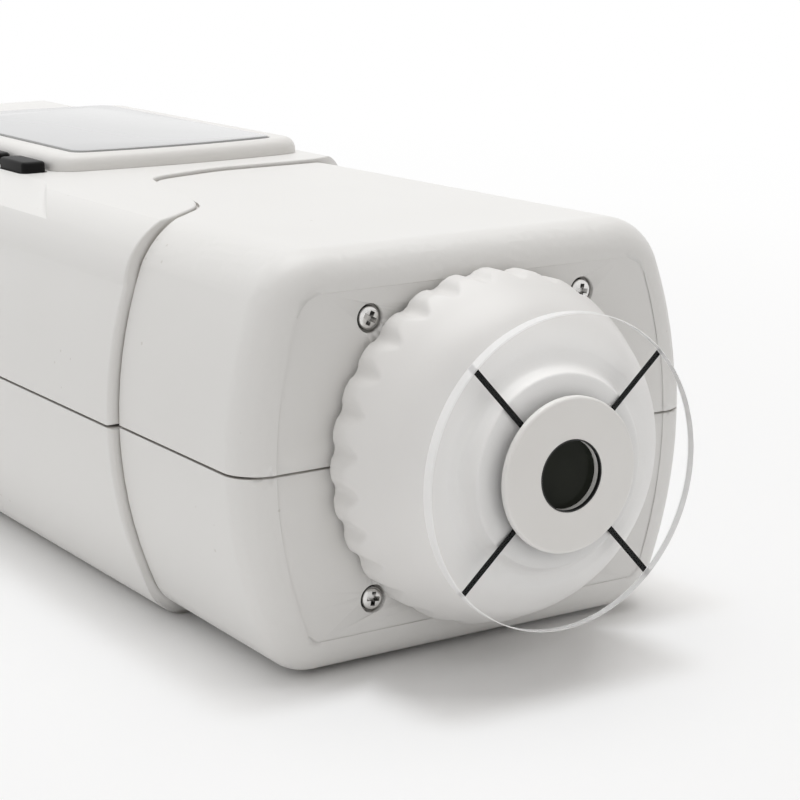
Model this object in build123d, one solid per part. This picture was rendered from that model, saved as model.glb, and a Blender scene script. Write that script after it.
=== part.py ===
from build123d import *
import math
import os

# Handheld colorimeter.
#
# +X runs along the measuring axis, out of the nose. +Z is up from the table that the instrument lies on.
# -Y is the operator's side, where the row of keys is. The origin is on the table, under the middle of the
# overall length. All sizes are in millimetres.

os.makedirs("parts", exist_ok=True)

# ---------------------------------------------------------------- driving dimensions
LENGTH = 205.0                # rear end to the hub face
AXIS_Z = 25.4                 # height of the measuring axis, which lies in the parting plane of the shells
REAR_END = -LENGTH / 2
HUB_FACE = LENGTH / 2
FACE = HUB_FACE - 18.0        # flat front face of the housing

WALL = 2.2                    # moulded wall thickness
SEAM_GAP = 0.3                # width of the shadow gap between the shells
TONGUE = 0.9                  # thickness of the tongue that closes the gap from inside
TONGUE_HEIGHT = 1.2
TONGUE_ROOT = 3.0             # how far it reaches down behind the wall
CLEARANCE = 0.3               # between pieces that move past each other
RUNNING_FIT = 0.08            # radial play of turning and sliding fits

SIDE_RADIUS = 53.0            # bulge of the side walls, in the cross-section
HEAD_FRONT = dict(half_width=31.7, top=24.45, bottom=24.85)
HEAD_BACK = dict(half_width=31.6, top=23.75, bottom=23.9)
HEAD_TOP_CORNER = 8.0
HEAD_BOTTOM_CORNER = 6.2
HEAD_BACK_X = FACE - 84.0
FRONT_EDGE_RADIUS = 4.4
PANEL_RECESS = 0.12           # the flat front panel lies this far back from the rounded frame around it
PANEL_MARGIN = 4.5

REAR_HALF_WIDTH = 32.95
REAR_TOP = 24.4               # plateau above the axis
REAR_BOTTOM = AXIS_Z
CREASE_Y = 24.3               # the plateau ends in a crease at this half-width
SHOULDER = (28.3, 21.9, 30.15, 17.0)   # the crease falls through these two points, each a y and a z
REAR_CORNER = 6.0
REAR_PLAN_RADIUS = 13.0       # corners of the rear end, seen from above
REAR_SIDE_RADIUS = 9.0        # and seen from the side
LIP_X = FACE - 31.3           # front edge of the proud rear part, at the near side and underneath
LIP_FAR_X = FACE - 73.5       # the same edge on top, towards the far side
LIP_BEND_Y = 19.0             # from here to the far shoulder it bends backwards
LIP_SHOULDER = (FACE - 79.5, 29.5, 19.0)   # x, y and height above the axis where it reaches the far side
LIP_HOOK_Y = 8.0              # from here the edge on top turns forwards, along these points, into a tongue
LIP_HOOK_MIDDLE = (FACE - 71.2, -2.2)
LIP_HOOK_END = (FACE - 66.5, -8.4)
LIP_TONGUE = [(FACE - 52.0, -11.8), (FACE - 41.5, -15.0), (FACE - 36.2, -20.2)]
LIP_NEAR_Y = -30.0            # and here, on the near side, it has reached its front place
LIP_TOP_Z = 12.0              # height above the axis where the near side ends and the outline on top begins
LIP_GROOVE_WIDTH = 0.3        # shadow groove along the foot of the lip
LIP_GROOVE_DEPTH = 0.4

DISPLAY_Y = 3.5               # the display sits away from the keys
BEZEL_FRONT = FACE - 79.3
BEZEL_LENGTH = 64.5
BEZEL_WIDTH = 40.0
BEZEL_HEIGHT = 2.35
BEZEL_BOW = 1.5               # bulge of the bezel's front and rear edges
BEZEL_CORNER = 4.0
BEZEL_ROUND = 1.8
WINDOW_LENGTH = 59.7
WINDOW_CORNER = 2.0
WINDOW_WIDTH = 31.8
WINDOW_THICKNESS = 1.2
WINDOW_PROUD = 0.25           # the window stands this far above the bezel
WINDOW_GROOVE = 0.3
SCREEN_LENGTH = 50.0
SCREEN_WIDTH = 27.0
SCREEN_MARGIN = 1.0           # round the screen, to the edge of its opening
MODULE_THICKNESS = 3.2
MODULE_MARGIN = (4.0, 3.5)    # the carrier is larger than the screen by this, in length and in width

KEY_NAMES = ["key_right", "key_enter", "key_left", "key_menu"]   # from the front backwards
KEY_PITCH = 12.5
KEY_LENGTH = 9.0
KEY_WIDTH = 3.6
KEY_FRONT = FACE - 82.6
KEY_Y = -19.0
KEY_PROUD = 1.6
KEY_CORNER = 0.9
KEY_ROUND = 0.5
KEY_FLANGE = 0.7
DOME_MARGIN = 0.6              # each dome switch is this much smaller than its key
SCOOP_MARGIN = 0.4            # the scoop starts this far from the keys
SCOOP_LOW_Y = -28.7
SCOOP_LOW_Z = 21.7
SCOOP_FRONT = FACE - 53.7     # the shoulder is cut back under the keys from here rearwards
SCOOP_RAMP = 22.4

NOSE_GAP = 0.55               # between the front panel and the nose cap
NOSE_RADIUS = 20.95
FLUTES = 28
FLUTE_DEPTH = 0.55
NECK_RADIUS = 11.2
NECK_FRONT = FACE + 15.4
DISC_RADIUS = 18.15
DISC_THICKNESS = 1.5
HUB_RADIUS = 8.95
HUB_PROUD = 0.8
HUB_ROUND = 0.45
SLEEVE_RADIUS = 5.6
SLEEVE_REAR = FACE + 11.0
APERTURE_RADIUS = 4.0
APERTURE_DEPTH = 1.15         # hub face to the glass
GLASS_RADIUS = 4.7
GLASS_THICKNESS = 0.8
RIM_WALL = 0.15
RIM_DEPTH = 0.5
LINE_WIDTH = 0.62
LINE_DEPTH = 0.12

POINTS_PER_FLUTE = 4
DISC_REAR = FACE + 15.7
TUBE_FRONT = FACE + 10.3
LUG_FRONT = FACE + 5.8
SENSOR_BORE = 2.6
LAMP_COUNT = 6
LAMP_CIRCLE = 8.7

COLLAR_RADIUS = 17.0
COLLAR_WALL = 2.4
COLLAR_FRONT = FACE + 6.4
LUG_PROUD = 1.0
LUG_WIDTH = 5.0
LUG_THICKNESS = 1.4
LUG_TURN = -30.0              # degrees from the locked place to where the nose cap pulls off
CHASSIS_PLATE = 3.0
CHASSIS_REAR = FACE - WALL - CLEARANCE - CHASSIS_PLATE
TUBE_RADIUS = 5.0
TUBE_WALL = 0.8
FACE_SCREW_Y = 14.8
FACE_SCREW_Z = 16.5
FACE_SCREW_HEAD = 1.42
FACE_SCREW_SHANK = 0.95
FACE_SCREW_CROSS = (0.8, 0.48, 0.65)   # reach, width and depth of the cross recess
FACE_SCREW_RECESS = 1.72
RECESS_DEPTH = 1.1

SPHERE_RADIUS = 19.0
SPHERE_WALL = 2.4
SPHERE_X = FACE - 30.0
BOARD = 1.2                   # circuit board thickness
MAIN_BOARD = (FACE - 173.0, FACE - 63.0, -27.0, 27.0)     # x and y limits, as for what stands on it
PROCESSOR = (FACE - 95.0, FACE - 81.0, -7.0, 7.0)
MEMORY = (FACE - 118.0, FACE - 108.0, -4.0, 4.0)
CONNECTOR = (FACE - 150.0, FACE - 146.0, -10.0, 10.0)
PROCESSOR_HEIGHT = 1.4
MEMORY_HEIGHT = 1.1
CONNECTOR_HEIGHT = 3.0
POST_RADIUS = 2.0
POST_X = (FACE - 168.0, FACE - 72.0)
POST_Y = 24.5
SENSOR_BOARD_SIZE = (30.0, 26.0)
LAMP_BOARD_RADIUS = 12.0
LAMP_RADIUS = 1.4

BATTERY_X = FACE - 138.0      # middle of the battery compartment
BATTERY_SIZE = (62.0, 38.0, 12.5)
COVER_SIZE = (74.0, 42.0, 2.0)
COVER_CORNER = 4.0
COVER_RISE = 0.3              # the cover lies this far above the table
SHELL_SCREW_SPOTS = [(FACE - 56.0, 19.5), (FACE - 179.0, 17.5)]
BOSS_RADIUS = 3.4
FLOOR_Z = 1.6                 # inside the bottom wall: what stands on it starts here
BATTERY_ROOM = 1.0            # between the battery and its compartment
BATTERY_WALL = 1.6
COVER_LEDGE = 2.0             # the bottom is thicker round the cover, up to this height
COVER_LEDGE_TOP = 4.4
COVER_GROOVES = 5
COVER_GROOVE = (0.8, 18.0, 0.6)       # width, length and depth of a grip groove in the cover
COVER_GROOVE_PITCH = 1.8
COVER_SCREW_RADIUS = 1.8
SADDLE = (3.0, 32.0, 9.0)     # thickness and width of the sphere's saddle, and its top below the axis

REAR_SOCKET_Z = AXIS_Z - 9.5
USB_Y = -9.7
DC_Y = 0.0
ROCKER_Y = 9.9
BUTTON_X = FACE - 100.0
BUTTON_Z = AXIS_Z + 9.0
BUTTON_LENGTH = 18.0
BUTTON_WIDTH = 8.0
BUTTON_PROUD = 1.0

BUTTON_FLANGE = 0.8
BUTTON_BASE_Y = 26.8
BUTTON_BASE = 1.2             # thickness of its flange
BUTTON_BOARD_SIZE = (20.0, 12.0)
SWITCH_SIZE = 6.0

SHELL_HEAD_RADIUS = 2.3
SHELL_HEAD_SEAT = 4.2
SHELL_SHANK = 1.1
USB_SIZE = (8.9, 3.2, 7.0)    # width, height, depth
DC_RADIUS = 4.0
DC_BORE = 2.9
DC_PIN = 1.0
SOCKET_DEPTH = 9.0
ROCKER_FLANGE = (10.6, 14.0, 0.8)     # width, height, depth
ROCKER_BODY = (8.8, 12.0, 6.0)
ROCKER_CAP = (6.4, 10.2)
ROCKER_TILT = 9.0
ROCKER_PIVOT_DEPTH = 2.6
ROCKER_PIN = 0.7              # radius of the two pivot pins
ROCKER_PIN_REACH = 4.2
BEYOND = 60.0                 # further out than any surface

PLATEAU_Z = AXIS_Z + REAR_TOP
BEZEL_TOP = PLATEAU_Z + BEZEL_HEIGHT
WINDOW_TOP = BEZEL_TOP + WINDOW_PROUD
WINDOW_LOW = WINDOW_TOP - WINDOW_THICKNESS
DISPLAY_X = BEZEL_FRONT - BEZEL_LENGTH / 2
KEY_FLANGE_TOP = PLATEAU_Z - 2.9
KEY_FLANGE_THICKNESS = 0.8
BOARD_TOP = AXIS_Z - 3.6


# ---------------------------------------------------------------- helpers
def at(x, y=0.0, z=0.0):
    """A place given along the measuring axis, and across and above it."""
    return Pos(x, y, AXIS_Z + z)


def slab(x_low, x_high, y_low, y_high, z_low, z_high):
    """A box between six limits."""
    size = Box(x_high - x_low, y_high - y_low, z_high - z_low)
    return Pos((x_low + x_high) / 2, (y_low + y_high) / 2, (z_low + z_high) / 2) * size


def along_x(face, x_low, x_high):
    """Pull a flat YZ outline along the measuring axis."""
    return extrude(Pos(x_low, 0, 0) * face, x_high - x_low, dir=(1, 0, 0))


def rod_x(radius, x_low, x_high, y=0.0, z=0.0):
    """A round bar along the measuring axis; y and z are measured from that axis."""
    return along_x(Plane.YZ * Pos(y, AXIS_Z + z) * Circle(radius), x_low, x_high)


def rod_z(radius, x, y, z_low, z_high):
    """An upright round bar."""
    return Pos(x, y, (z_low + z_high) / 2) * Cylinder(radius, z_high - z_low)


def save(name, shape):
    """Write one piece to its own file."""
    export_step(shape, os.path.join("parts", name + ".step"))


# ---------------------------------------------------------------- cross-sections of the housing
def side_y(half_width, height):
    """Half-width of the bulged side wall at a height from the parting plane."""
    return half_width - SIDE_RADIUS + math.sqrt(SIDE_RADIUS ** 2 - height ** 2)


def head_section(half_width, top, bottom, inset=0.0):
    """Rounded cross-section of the head: bulged sides, flat top and bottom."""
    width = half_width - inset
    high = top - inset
    low = -bottom + inset
    sides = []
    for sign in (1, -1):
        sides.append(ThreePointArc((sign * side_y(width, low), low), (sign * width, 0),
                                   (sign * side_y(width, high), high)))
    top_line = Line((-side_y(width, high), high), (side_y(width, high), high))
    bottom_line = Line((-side_y(width, low), low), (side_y(width, low), low))
    outline = make_face([sides[0], top_line, sides[1], bottom_line])
    outline = fillet(outline.vertices().sort_by(Axis.Y)[-2:], HEAD_TOP_CORNER - inset)
    outline = fillet(outline.vertices().sort_by(Axis.Y)[:2], HEAD_BOTTOM_CORNER - inset)
    return Plane.YZ * Pos(0, AXIS_Z) * outline


def rear_section(inset=0.0):
    """Cross-section of the rear part: a flat plateau, a crease, and sides that bulge to the parting plane."""
    width = REAR_HALF_WIDTH - inset
    high = REAR_TOP - inset
    low = -REAR_BOTTOM + inset
    shoulder_y, shoulder_z, wall_y, wall_z = [value - inset for value in SHOULDER]
    edges = [Line((-CREASE_Y + inset, high), (CREASE_Y - inset, high))]
    low_y = side_y(width, low)
    for sign in (1, -1):
        edges.append(ThreePointArc((sign * (CREASE_Y - inset), high), (sign * shoulder_y, shoulder_z),
                                   (sign * wall_y, wall_z)))
        edges.append(ThreePointArc((sign * wall_y, wall_z), (sign * side_y(width, wall_z / 2), wall_z / 2),
                                   (sign * width, 0)))
        edges.append(ThreePointArc((sign * width, 0), (sign * side_y(width, low / 2), low / 2),
                                   (sign * low_y, low)))
    edges.append(Line((-low_y, low), (low_y, low)))
    outline = make_face(edges)
    corners = outline.vertices().sort_by(Axis.Y)[:2]
    return Plane.YZ * Pos(0, AXIS_Z) * fillet(corners, REAR_CORNER - inset)


# ---------------------------------------------------------------- housing
def head_body(inset=0.0):
    """The head, which widens a little towards its front face."""
    front = Pos(FACE - inset, 0, 0) * head_section(**HEAD_FRONT, inset=inset)
    back = Pos(HEAD_BACK_X, 0, 0) * head_section(**HEAD_BACK, inset=inset)
    body = loft([back, front], ruled=True)
    front_face = body.faces().sort_by(Axis.X)[-1]
    return fillet(front_face.edges(), FRONT_EDGE_RADIUS - inset)


def lip_cutter():
    """Everything in front of the lip: its plan outline on top and its sweep on the far side."""
    front_x = LIP_X + 5.0
    shoulder = LIP_SHOULDER[:2]
    hook_start = (LIP_FAR_X, LIP_HOOK_Y)
    path = [
        Line((shoulder[0], BEYOND), shoulder),
        Spline(shoulder, (LIP_FAR_X, LIP_BEND_Y), tangents=[(0.6, -0.8), (0, -1)]),
        Line((LIP_FAR_X, LIP_BEND_Y), hook_start),
        Spline(hook_start, LIP_HOOK_MIDDLE, LIP_HOOK_END, tangents=[(0, -1), (1, -0.25)]),
        Spline(LIP_HOOK_END, *LIP_TONGUE, (LIP_X, LIP_NEAR_Y), tangents=[(1, -0.25), (0, -1)]),
        Line((LIP_X, LIP_NEAR_Y), (LIP_X, -BEYOND)),
        Line((LIP_X, -BEYOND), (front_x, -BEYOND)),
        Line((front_x, -BEYOND), (front_x, BEYOND)),
        Line((front_x, BEYOND), (shoulder[0], BEYOND)),
    ]
    plan = extrude(Pos(0, 0, AXIS_Z + LIP_TOP_Z) * make_face(path), BEYOND)
    return plan - slab(REAR_END, HUB_FACE, LIP_SHOULDER[1] - 1.0, BEYOND, 0, AXIS_Z + LIP_SHOULDER[2])


def far_cutter():
    """On the far side the lip sweeps forwards from the shoulder down to the parting plane."""
    front_x = LIP_X + 5.0
    start = (LIP_SHOULDER[0], LIP_SHOULDER[2])
    end = (LIP_X, 0.0)
    path = [
        Line((start[0], BEYOND), start),
        Spline(start, end, tangents=[(0.2, -1), (0.2, -1)]),
        Line(end, (front_x, 0.0)),
        Line((front_x, 0.0), (front_x, BEYOND)),
        Line((front_x, BEYOND), (start[0], BEYOND)),
    ]
    inner = Plane.XZ.offset(-LIP_SHOULDER[1] + 1.0)
    return extrude(inner * Pos(0, AXIS_Z) * make_face(path), -BEYOND)


def lip_groove():
    """Narrow shadow groove in the head, along the foot of the lip."""
    back = LIP_GROOVE_DEPTH
    width = LIP_GROOVE_WIDTH
    on_top = Pos(-back, -back, 0) * lip_cutter() - Pos(width, width, 0) * lip_cutter()
    far_side = Pos(-back, 0, -back) * far_cutter() - Pos(width, 0, width) * far_cutter()
    far_side = far_side - slab(LIP_X + width, HUB_FACE, 0, BEYOND, 0, AXIS_Z + width)
    low = slab(LIP_X - back, LIP_X + width, -BEYOND, BEYOND, -1, AXIS_Z)
    near = slab(LIP_X - back, LIP_X + width, -BEYOND, 0, AXIS_Z - 1, AXIS_Z + LIP_TOP_Z)
    return (on_top + far_side + low + near) - head_body(LIP_GROOVE_DEPTH)


def shoulder_scoop():
    """The near shoulder is cut back behind the tongue, so that the keys stand clear of it."""
    edge_y = KEY_Y - KEY_WIDTH / 2 - SCOOP_MARGIN
    rear = BEZEL_FRONT - BEZEL_LENGTH
    profile = make_face(Polyline((edge_y, REAR_TOP), (edge_y, REAR_TOP + 5), (-40, REAR_TOP + 5), (-40, 18),
                                 (SCOOP_LOW_Y, SCOOP_LOW_Z), close=True))
    cut = along_x(Plane.YZ * Pos(0, AXIS_Z) * profile, rear, SCOOP_FRONT)
    ramp = Plane.XY * make_face(Polyline((SCOOP_FRONT + 1, edge_y + 1), (SCOOP_FRONT - SCOOP_RAMP, edge_y + 1),
                                         (SCOOP_FRONT + 1, edge_y - 9.4), close=True))
    return cut - extrude(ramp, 2 * BEYOND)


def rounded_end(outline_plane, half_low, half_high, radius, inset):
    """A block whose rear corners are rounded, in one view."""
    front = HEAD_BACK_X + BEYOND
    rear = REAR_END + inset
    outline = make_face(Polyline((rear, -half_low), (rear, half_high), (front, half_high), (front, -half_low),
                                 close=True))
    corners = outline.vertices().sort_by(Axis.X)[:2]
    rounded = fillet(corners, radius - inset)
    return extrude(outline_plane * rounded, BEYOND, both=True)


def rear_body(inset=0.0, front=LIP_X):
    """The proud rear part, with its rounded end."""
    body = along_x(rear_section(inset), REAR_END + inset, front)
    half = REAR_HALF_WIDTH - inset
    body = body & rounded_end(Plane.XY * Pos(0, 0, AXIS_Z), half, half, REAR_PLAN_RADIUS, inset)
    side_plane = Plane((0, 0, AXIS_Z), x_dir=(1, 0, 0), z_dir=(0, -1, 0))
    return body & rounded_end(side_plane, REAR_BOTTOM - inset, REAR_TOP - inset, REAR_SIDE_RADIUS, inset)


def housing_solid():
    """Head and rear part together, before they are split and hollowed."""
    head = head_body() - lip_groove()
    rear = rear_body() - lip_cutter() - far_cutter()
    return head + rear - shoulder_scoop()


def housing_core(wall):
    """What lies inside a wall of this thickness."""
    core = head_body(wall) + rear_body(wall, front=HEAD_BACK_X + 1.0)
    inward = 0.7 * wall
    return core - Pos(0, inward, -inward) * shoulder_scoop()


def above(z):
    """Everything above a height."""
    return slab(-BEYOND * 2, BEYOND * 2, -BEYOND, BEYOND, z, 2 * BEYOND)


def below(z):
    """Everything below a height."""
    return slab(-BEYOND * 2, BEYOND * 2, -BEYOND, BEYOND, -5, z)


def panel_recess():
    """The front panel, sunk a little inside the rounded frame."""
    outline = Pos(FACE - PANEL_RECESS, 0, 0) * head_section(**HEAD_FRONT, inset=PANEL_MARGIN)
    return extrude(outline, 1.0, dir=(1, 0, 0))


def face_screw_spots():
    """The four face screws, as y and z from the measuring axis."""
    return [(y, z) for y in (-FACE_SCREW_Y, FACE_SCREW_Y) for z in (-FACE_SCREW_Z, FACE_SCREW_Z)]


def shell_screw_spots():
    """The four screws in the underside, as x and y."""
    return [(x, sign * y) for x, y in SHELL_SCREW_SPOTS for sign in (-1, 1)]


def face_cuts():
    """Openings in the front wall: the collar hole and the screw recesses."""
    cuts = [rod_x(COLLAR_RADIUS + CLEARANCE, FACE - 2 * WALL, FACE + 1)]
    for y, z in face_screw_spots():
        cuts.append(rod_x(FACE_SCREW_RECESS, FACE - RECESS_DEPTH, FACE + 1, y, z))
        cuts.append(rod_x(FACE_SCREW_SHANK + 0.15, FACE - 2 * WALL, FACE, y, z))
    return cuts


def tongue_block(wall_outer, z_low, z_high):
    """A slice of the wall's inner side, all round the parting plane."""
    ring = housing_core(wall_outer) - housing_core(WALL)
    return ring & above(z_low) & below(z_high)


def underside_block(size, grow, z_low, z_high):
    """A block round the battery's middle, with the plan of the battery or its cover, grown by a gap."""
    half_length = size[0] / 2 + grow
    half_width = size[1] / 2 + grow
    return slab(BATTERY_X - half_length, BATTERY_X + half_length, -half_width, half_width, z_low, z_high)


def sphere_saddle():
    """Upright rib in the lower shell, hollowed where the integrating sphere rests in it."""
    thickness, width, drop = SADDLE
    height = AXIS_Z - drop - FLOOR_Z
    rib = Pos(SPHERE_X, 0, FLOOR_Z + height / 2) * Box(thickness, width, height)
    return rib - at(SPHERE_X) * Sphere(SPHERE_RADIUS + 0.1)


def build_lower_shell(solid):
    """Lower half: battery compartment, screw bosses, rear sockets and the tongue of the parting plane."""
    top = AXIS_Z - SEAM_GAP / 2
    shell = (solid & below(top)) - (housing_core(WALL) & below(top))
    shell = shell + tongue_block(WALL - TONGUE, AXIS_Z - TONGUE_ROOT, AXIS_Z + TONGUE_HEIGHT)
    for x, y in shell_screw_spots():
        shell = shell + rod_z(BOSS_RADIUS, x, y, FLOOR_Z, AXIS_Z - 1.0)
    for x, y in board_posts():
        shell = shell + (rod_z(POST_RADIUS, x, y, 0.0, BOARD_TOP - BOARD) & housing_core(WALL - 0.5))
    shell = shell + sphere_saddle()
    box_top = COVER_RISE + COVER_SIZE[2] + BATTERY_SIZE[2] + 2 * BATTERY_ROOM
    shell = shell + underside_block(COVER_SIZE, COVER_LEDGE, FLOOR_Z, COVER_LEDGE_TOP)
    shell = shell + underside_block(BATTERY_SIZE, BATTERY_ROOM + BATTERY_WALL, FLOOR_Z, box_top + BATTERY_WALL)
    shell = shell - underside_block(BATTERY_SIZE, BATTERY_ROOM, -1.0, box_top)
    shell = shell - Pos(BATTERY_X, 0, 0) * cover_block(CLEARANCE, -1.0, COVER_RISE + COVER_SIZE[2] + 0.1)
    for cut in face_cuts():
        shell = shell - cut
    for x, y in shell_screw_spots():
        shell = shell - rod_z(SHELL_HEAD_RADIUS + CLEARANCE, x, y, -1, SHELL_HEAD_SEAT)
        shell = shell - rod_z(SHELL_SHANK + 0.2, x, y, 0, AXIS_Z)
    socket_hole = rod_x(DC_RADIUS + 0.15, REAR_END - 1, REAR_END + 6, DC_Y, REAR_SOCKET_Z - AXIS_Z)
    return shell - usb_block(0.15) - socket_hole - rocker_hole(0.1)


def build_upper_shell(solid):
    """Upper half: plateau with the display opening, key slots, button slot and screw posts."""
    bottom = AXIS_Z + SEAM_GAP / 2
    shell = (solid & above(bottom)) - (housing_core(WALL) & above(bottom))
    shell = shell - tongue_block(WALL - TONGUE - 0.1, AXIS_Z - TONGUE_ROOT, AXIS_Z + TONGUE_HEIGHT + 0.15)
    for x, y in shell_screw_spots():
        shell = shell + (rod_z(BOSS_RADIUS, x, y, AXIS_Z - 0.7, PLATEAU_Z) & housing_core(WALL - 0.5))
        shell = shell - rod_z(SHELL_SHANK + 0.05, x, y, AXIS_Z - 1, AXIS_Z + 12)
    for cut in face_cuts():
        shell = shell - cut
    shell = shell - screen_opening(PLATEAU_Z - 2 * WALL, PLATEAU_Z + 1)
    for index in range(len(KEY_NAMES)):
        shell = shell - key_block(index, CLEARANCE, PLATEAU_Z - 2 * WALL, PLATEAU_Z + 1)
    return shell - button_block(CLEARANCE, BUTTON_BASE_Y - WALL, BEYOND)


# ---------------------------------------------------------------- display and keys
def display_limits(length, width):
    """X and y limits of something centred on the display."""
    return (DISPLAY_X - length / 2, DISPLAY_X + length / 2, DISPLAY_Y - width / 2, DISPLAY_Y + width / 2)


def screen_opening(z_low, z_high):
    """A block with the outline of the opening over the screen."""
    limits = display_limits(SCREEN_LENGTH + 2 * SCREEN_MARGIN, SCREEN_WIDTH + 2 * SCREEN_MARGIN)
    return slab(*limits, z_low, z_high)


def bowed_plate(length, width, bow, corner, z_low, z_high):
    """A rounded rectangle whose front and rear edges bulge a little, centred on the display."""
    half = length / 2
    edge = width / 2
    outline = make_face([
        ThreePointArc((half - bow, -edge), (half, 0), (half - bow, edge)),
        Line((half - bow, edge), (-half + bow, edge)),
        ThreePointArc((-half + bow, edge), (-half, 0), (-half + bow, -edge)),
        Line((-half + bow, -edge), (half - bow, -edge)),
    ])
    outline = fillet(outline.vertices(), corner)
    return extrude(Pos(DISPLAY_X, DISPLAY_Y, z_low) * outline, z_high - z_low)


def build_bezel():
    """Raised frame round the display, with a ledge for the window."""
    frame = bowed_plate(BEZEL_LENGTH, BEZEL_WIDTH, BEZEL_BOW, BEZEL_CORNER, PLATEAU_Z, BEZEL_TOP)
    frame = fillet(frame.faces().sort_by(Axis.Z)[-1].edges(), BEZEL_ROUND)
    pocket_length = WINDOW_LENGTH + 2 * WINDOW_GROOVE
    pocket_width = WINDOW_WIDTH + 2 * WINDOW_GROOVE
    frame = frame - bowed_plate(pocket_length, pocket_width, BEZEL_BOW, WINDOW_CORNER + WINDOW_GROOVE,
                                WINDOW_LOW, BEZEL_TOP + 1)
    return frame - screen_opening(PLATEAU_Z - 1, BEZEL_TOP)


def build_window():
    """Flat window, let into the bezel and standing a little above it."""
    return bowed_plate(WINDOW_LENGTH, WINDOW_WIDTH, BEZEL_BOW, WINDOW_CORNER, WINDOW_LOW, WINDOW_TOP)


def build_display_module():
    """Display on its carrier, behind the window."""
    carrier_top = PLATEAU_Z - WALL - 0.8
    carrier_length = SCREEN_LENGTH + 2 * MODULE_MARGIN[0]
    carrier_width = SCREEN_WIDTH + 2 * MODULE_MARGIN[1]
    carrier_low = carrier_top - MODULE_THICKNESS
    carrier = slab(*display_limits(carrier_length, carrier_width), carrier_low, carrier_top)
    screen_top = WINDOW_LOW - CLEARANCE
    return carrier + slab(*display_limits(SCREEN_LENGTH, SCREEN_WIDTH), carrier_top - 0.5, screen_top)


def key_block(index, grow, z_low, z_high):
    """An upright block with the outline of one key, grown by a gap."""
    middle_x = KEY_FRONT - KEY_LENGTH / 2 - index * KEY_PITCH
    outline = RectangleRounded(KEY_LENGTH + 2 * grow, KEY_WIDTH + 2 * grow, KEY_CORNER + grow)
    return extrude(Pos(middle_x, KEY_Y, z_low) * outline, z_high - z_low)


def build_key(index):
    """One key: a cap with softened edges, on a flange that keeps it in its slot."""
    cap = key_block(index, 0, KEY_FLANGE_TOP - 0.2, PLATEAU_Z + KEY_PROUD)
    cap = fillet(cap.faces().sort_by(Axis.Z)[-1].edges(), KEY_ROUND)
    return cap + key_block(index, KEY_FLANGE, KEY_FLANGE_TOP - KEY_FLANGE_THICKNESS, KEY_FLANGE_TOP)


def build_key_board():
    """Board under the keys, with one dome switch for each."""
    top = KEY_FLANGE_TOP - KEY_FLANGE_THICKNESS - 0.8
    rear = KEY_FRONT - KEY_LENGTH - (len(KEY_NAMES) - 1) * KEY_PITCH
    board = slab(rear - 2, KEY_FRONT + 2, KEY_Y - 3.6, KEY_Y + 3.8, top - BOARD, top - 0.2)
    for index in range(len(KEY_NAMES)):
        board = board + key_block(index, -DOME_MARGIN, top - 0.5, top)
    return board


# ---------------------------------------------------------------- measuring button
def button_block(grow, y_low, y_high):
    """A block with the oval outline of the measuring button, grown by a gap."""
    outline = SlotOverall(BUTTON_LENGTH + 2 * grow, BUTTON_WIDTH + 2 * grow)
    plane = Plane((BUTTON_X, y_low, BUTTON_Z), x_dir=(1, 0, 0), z_dir=(0, 1, 0))
    return extrude(plane * outline, y_high - y_low)


def build_button():
    """Oval button on the far side; its face follows the side wall and stands a little proud."""
    proud_body = along_x(rear_section(-BUTTON_PROUD), BUTTON_X - BUTTON_LENGTH, BUTTON_X + BUTTON_LENGTH)
    cap = button_block(0, BUTTON_BASE_Y, BEYOND) & proud_body
    return cap + button_block(BUTTON_FLANGE, BUTTON_BASE_Y, BUTTON_BASE_Y + BUTTON_BASE)


def build_button_board():
    """Small upright board that carries the measuring switch."""
    board_length, board_height = BUTTON_BOARD_SIZE
    board = Pos(BUTTON_X, BUTTON_BASE_Y - 2.8, BUTTON_Z) * Box(board_length, BOARD, board_height)
    return board + Pos(BUTTON_X, BUTTON_BASE_Y - 1.8, BUTTON_Z) * Box(SWITCH_SIZE, 1.0, SWITCH_SIZE)


# ---------------------------------------------------------------- boards, battery and rear sockets
def board_posts():
    """Posts under the main board."""
    return [(x, sign * POST_Y) for x in POST_X for sign in (-1, 1)]


def build_main_board():
    """Main board, above the battery compartment."""
    board = slab(*MAIN_BOARD, BOARD_TOP - BOARD, BOARD_TOP)
    processor = slab(*PROCESSOR, BOARD_TOP - 0.1, BOARD_TOP + PROCESSOR_HEIGHT)
    memory = slab(*MEMORY, BOARD_TOP - 0.1, BOARD_TOP + MEMORY_HEIGHT)
    connector = slab(*CONNECTOR, BOARD_TOP - 0.1, BOARD_TOP + CONNECTOR_HEIGHT)
    return board + processor + memory + connector


def cover_block(grow, z_low, z_high):
    """A block with the outline of the battery cover, grown by a gap."""
    outline = RectangleRounded(COVER_SIZE[0] + 2 * grow, COVER_SIZE[1] + 2 * grow, COVER_CORNER + grow)
    return extrude(Pos(0, 0, z_low) * outline, z_high - z_low)


def build_battery_cover():
    """Battery cover in the underside, with grip grooves across its rear end."""
    cover = Pos(BATTERY_X, 0, 0) * cover_block(0, COVER_RISE, COVER_RISE + COVER_SIZE[2])
    width, length, depth = COVER_GROOVE
    for index in range(COVER_GROOVES):
        x = BATTERY_X - COVER_SIZE[0] / 2 + 5.0 + COVER_GROOVE_PITCH * index
        cover = cover - slab(x, x + width, -length / 2, length / 2, -1.0, COVER_RISE + depth)
    return cover - rod_z(COVER_SCREW_RADIUS + 0.1, *cover_screw_spot(), -1.0, COVER_RISE + 1.1)


def cover_screw_spot():
    """Place of the captive screw in the battery cover."""
    return (BATTERY_X + COVER_SIZE[0] / 2 - 3.2, 0.0)


def build_cover_screw():
    """Captive screw of the battery cover, with a cross recess."""
    x, y = cover_screw_spot()
    head = rod_z(COVER_SCREW_RADIUS, x, y, COVER_RISE + 0.1, COVER_RISE + 1.1)
    return head - Pos(x, y, COVER_RISE) * cross_recess(1.1, 0.35, 0.6)


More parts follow.
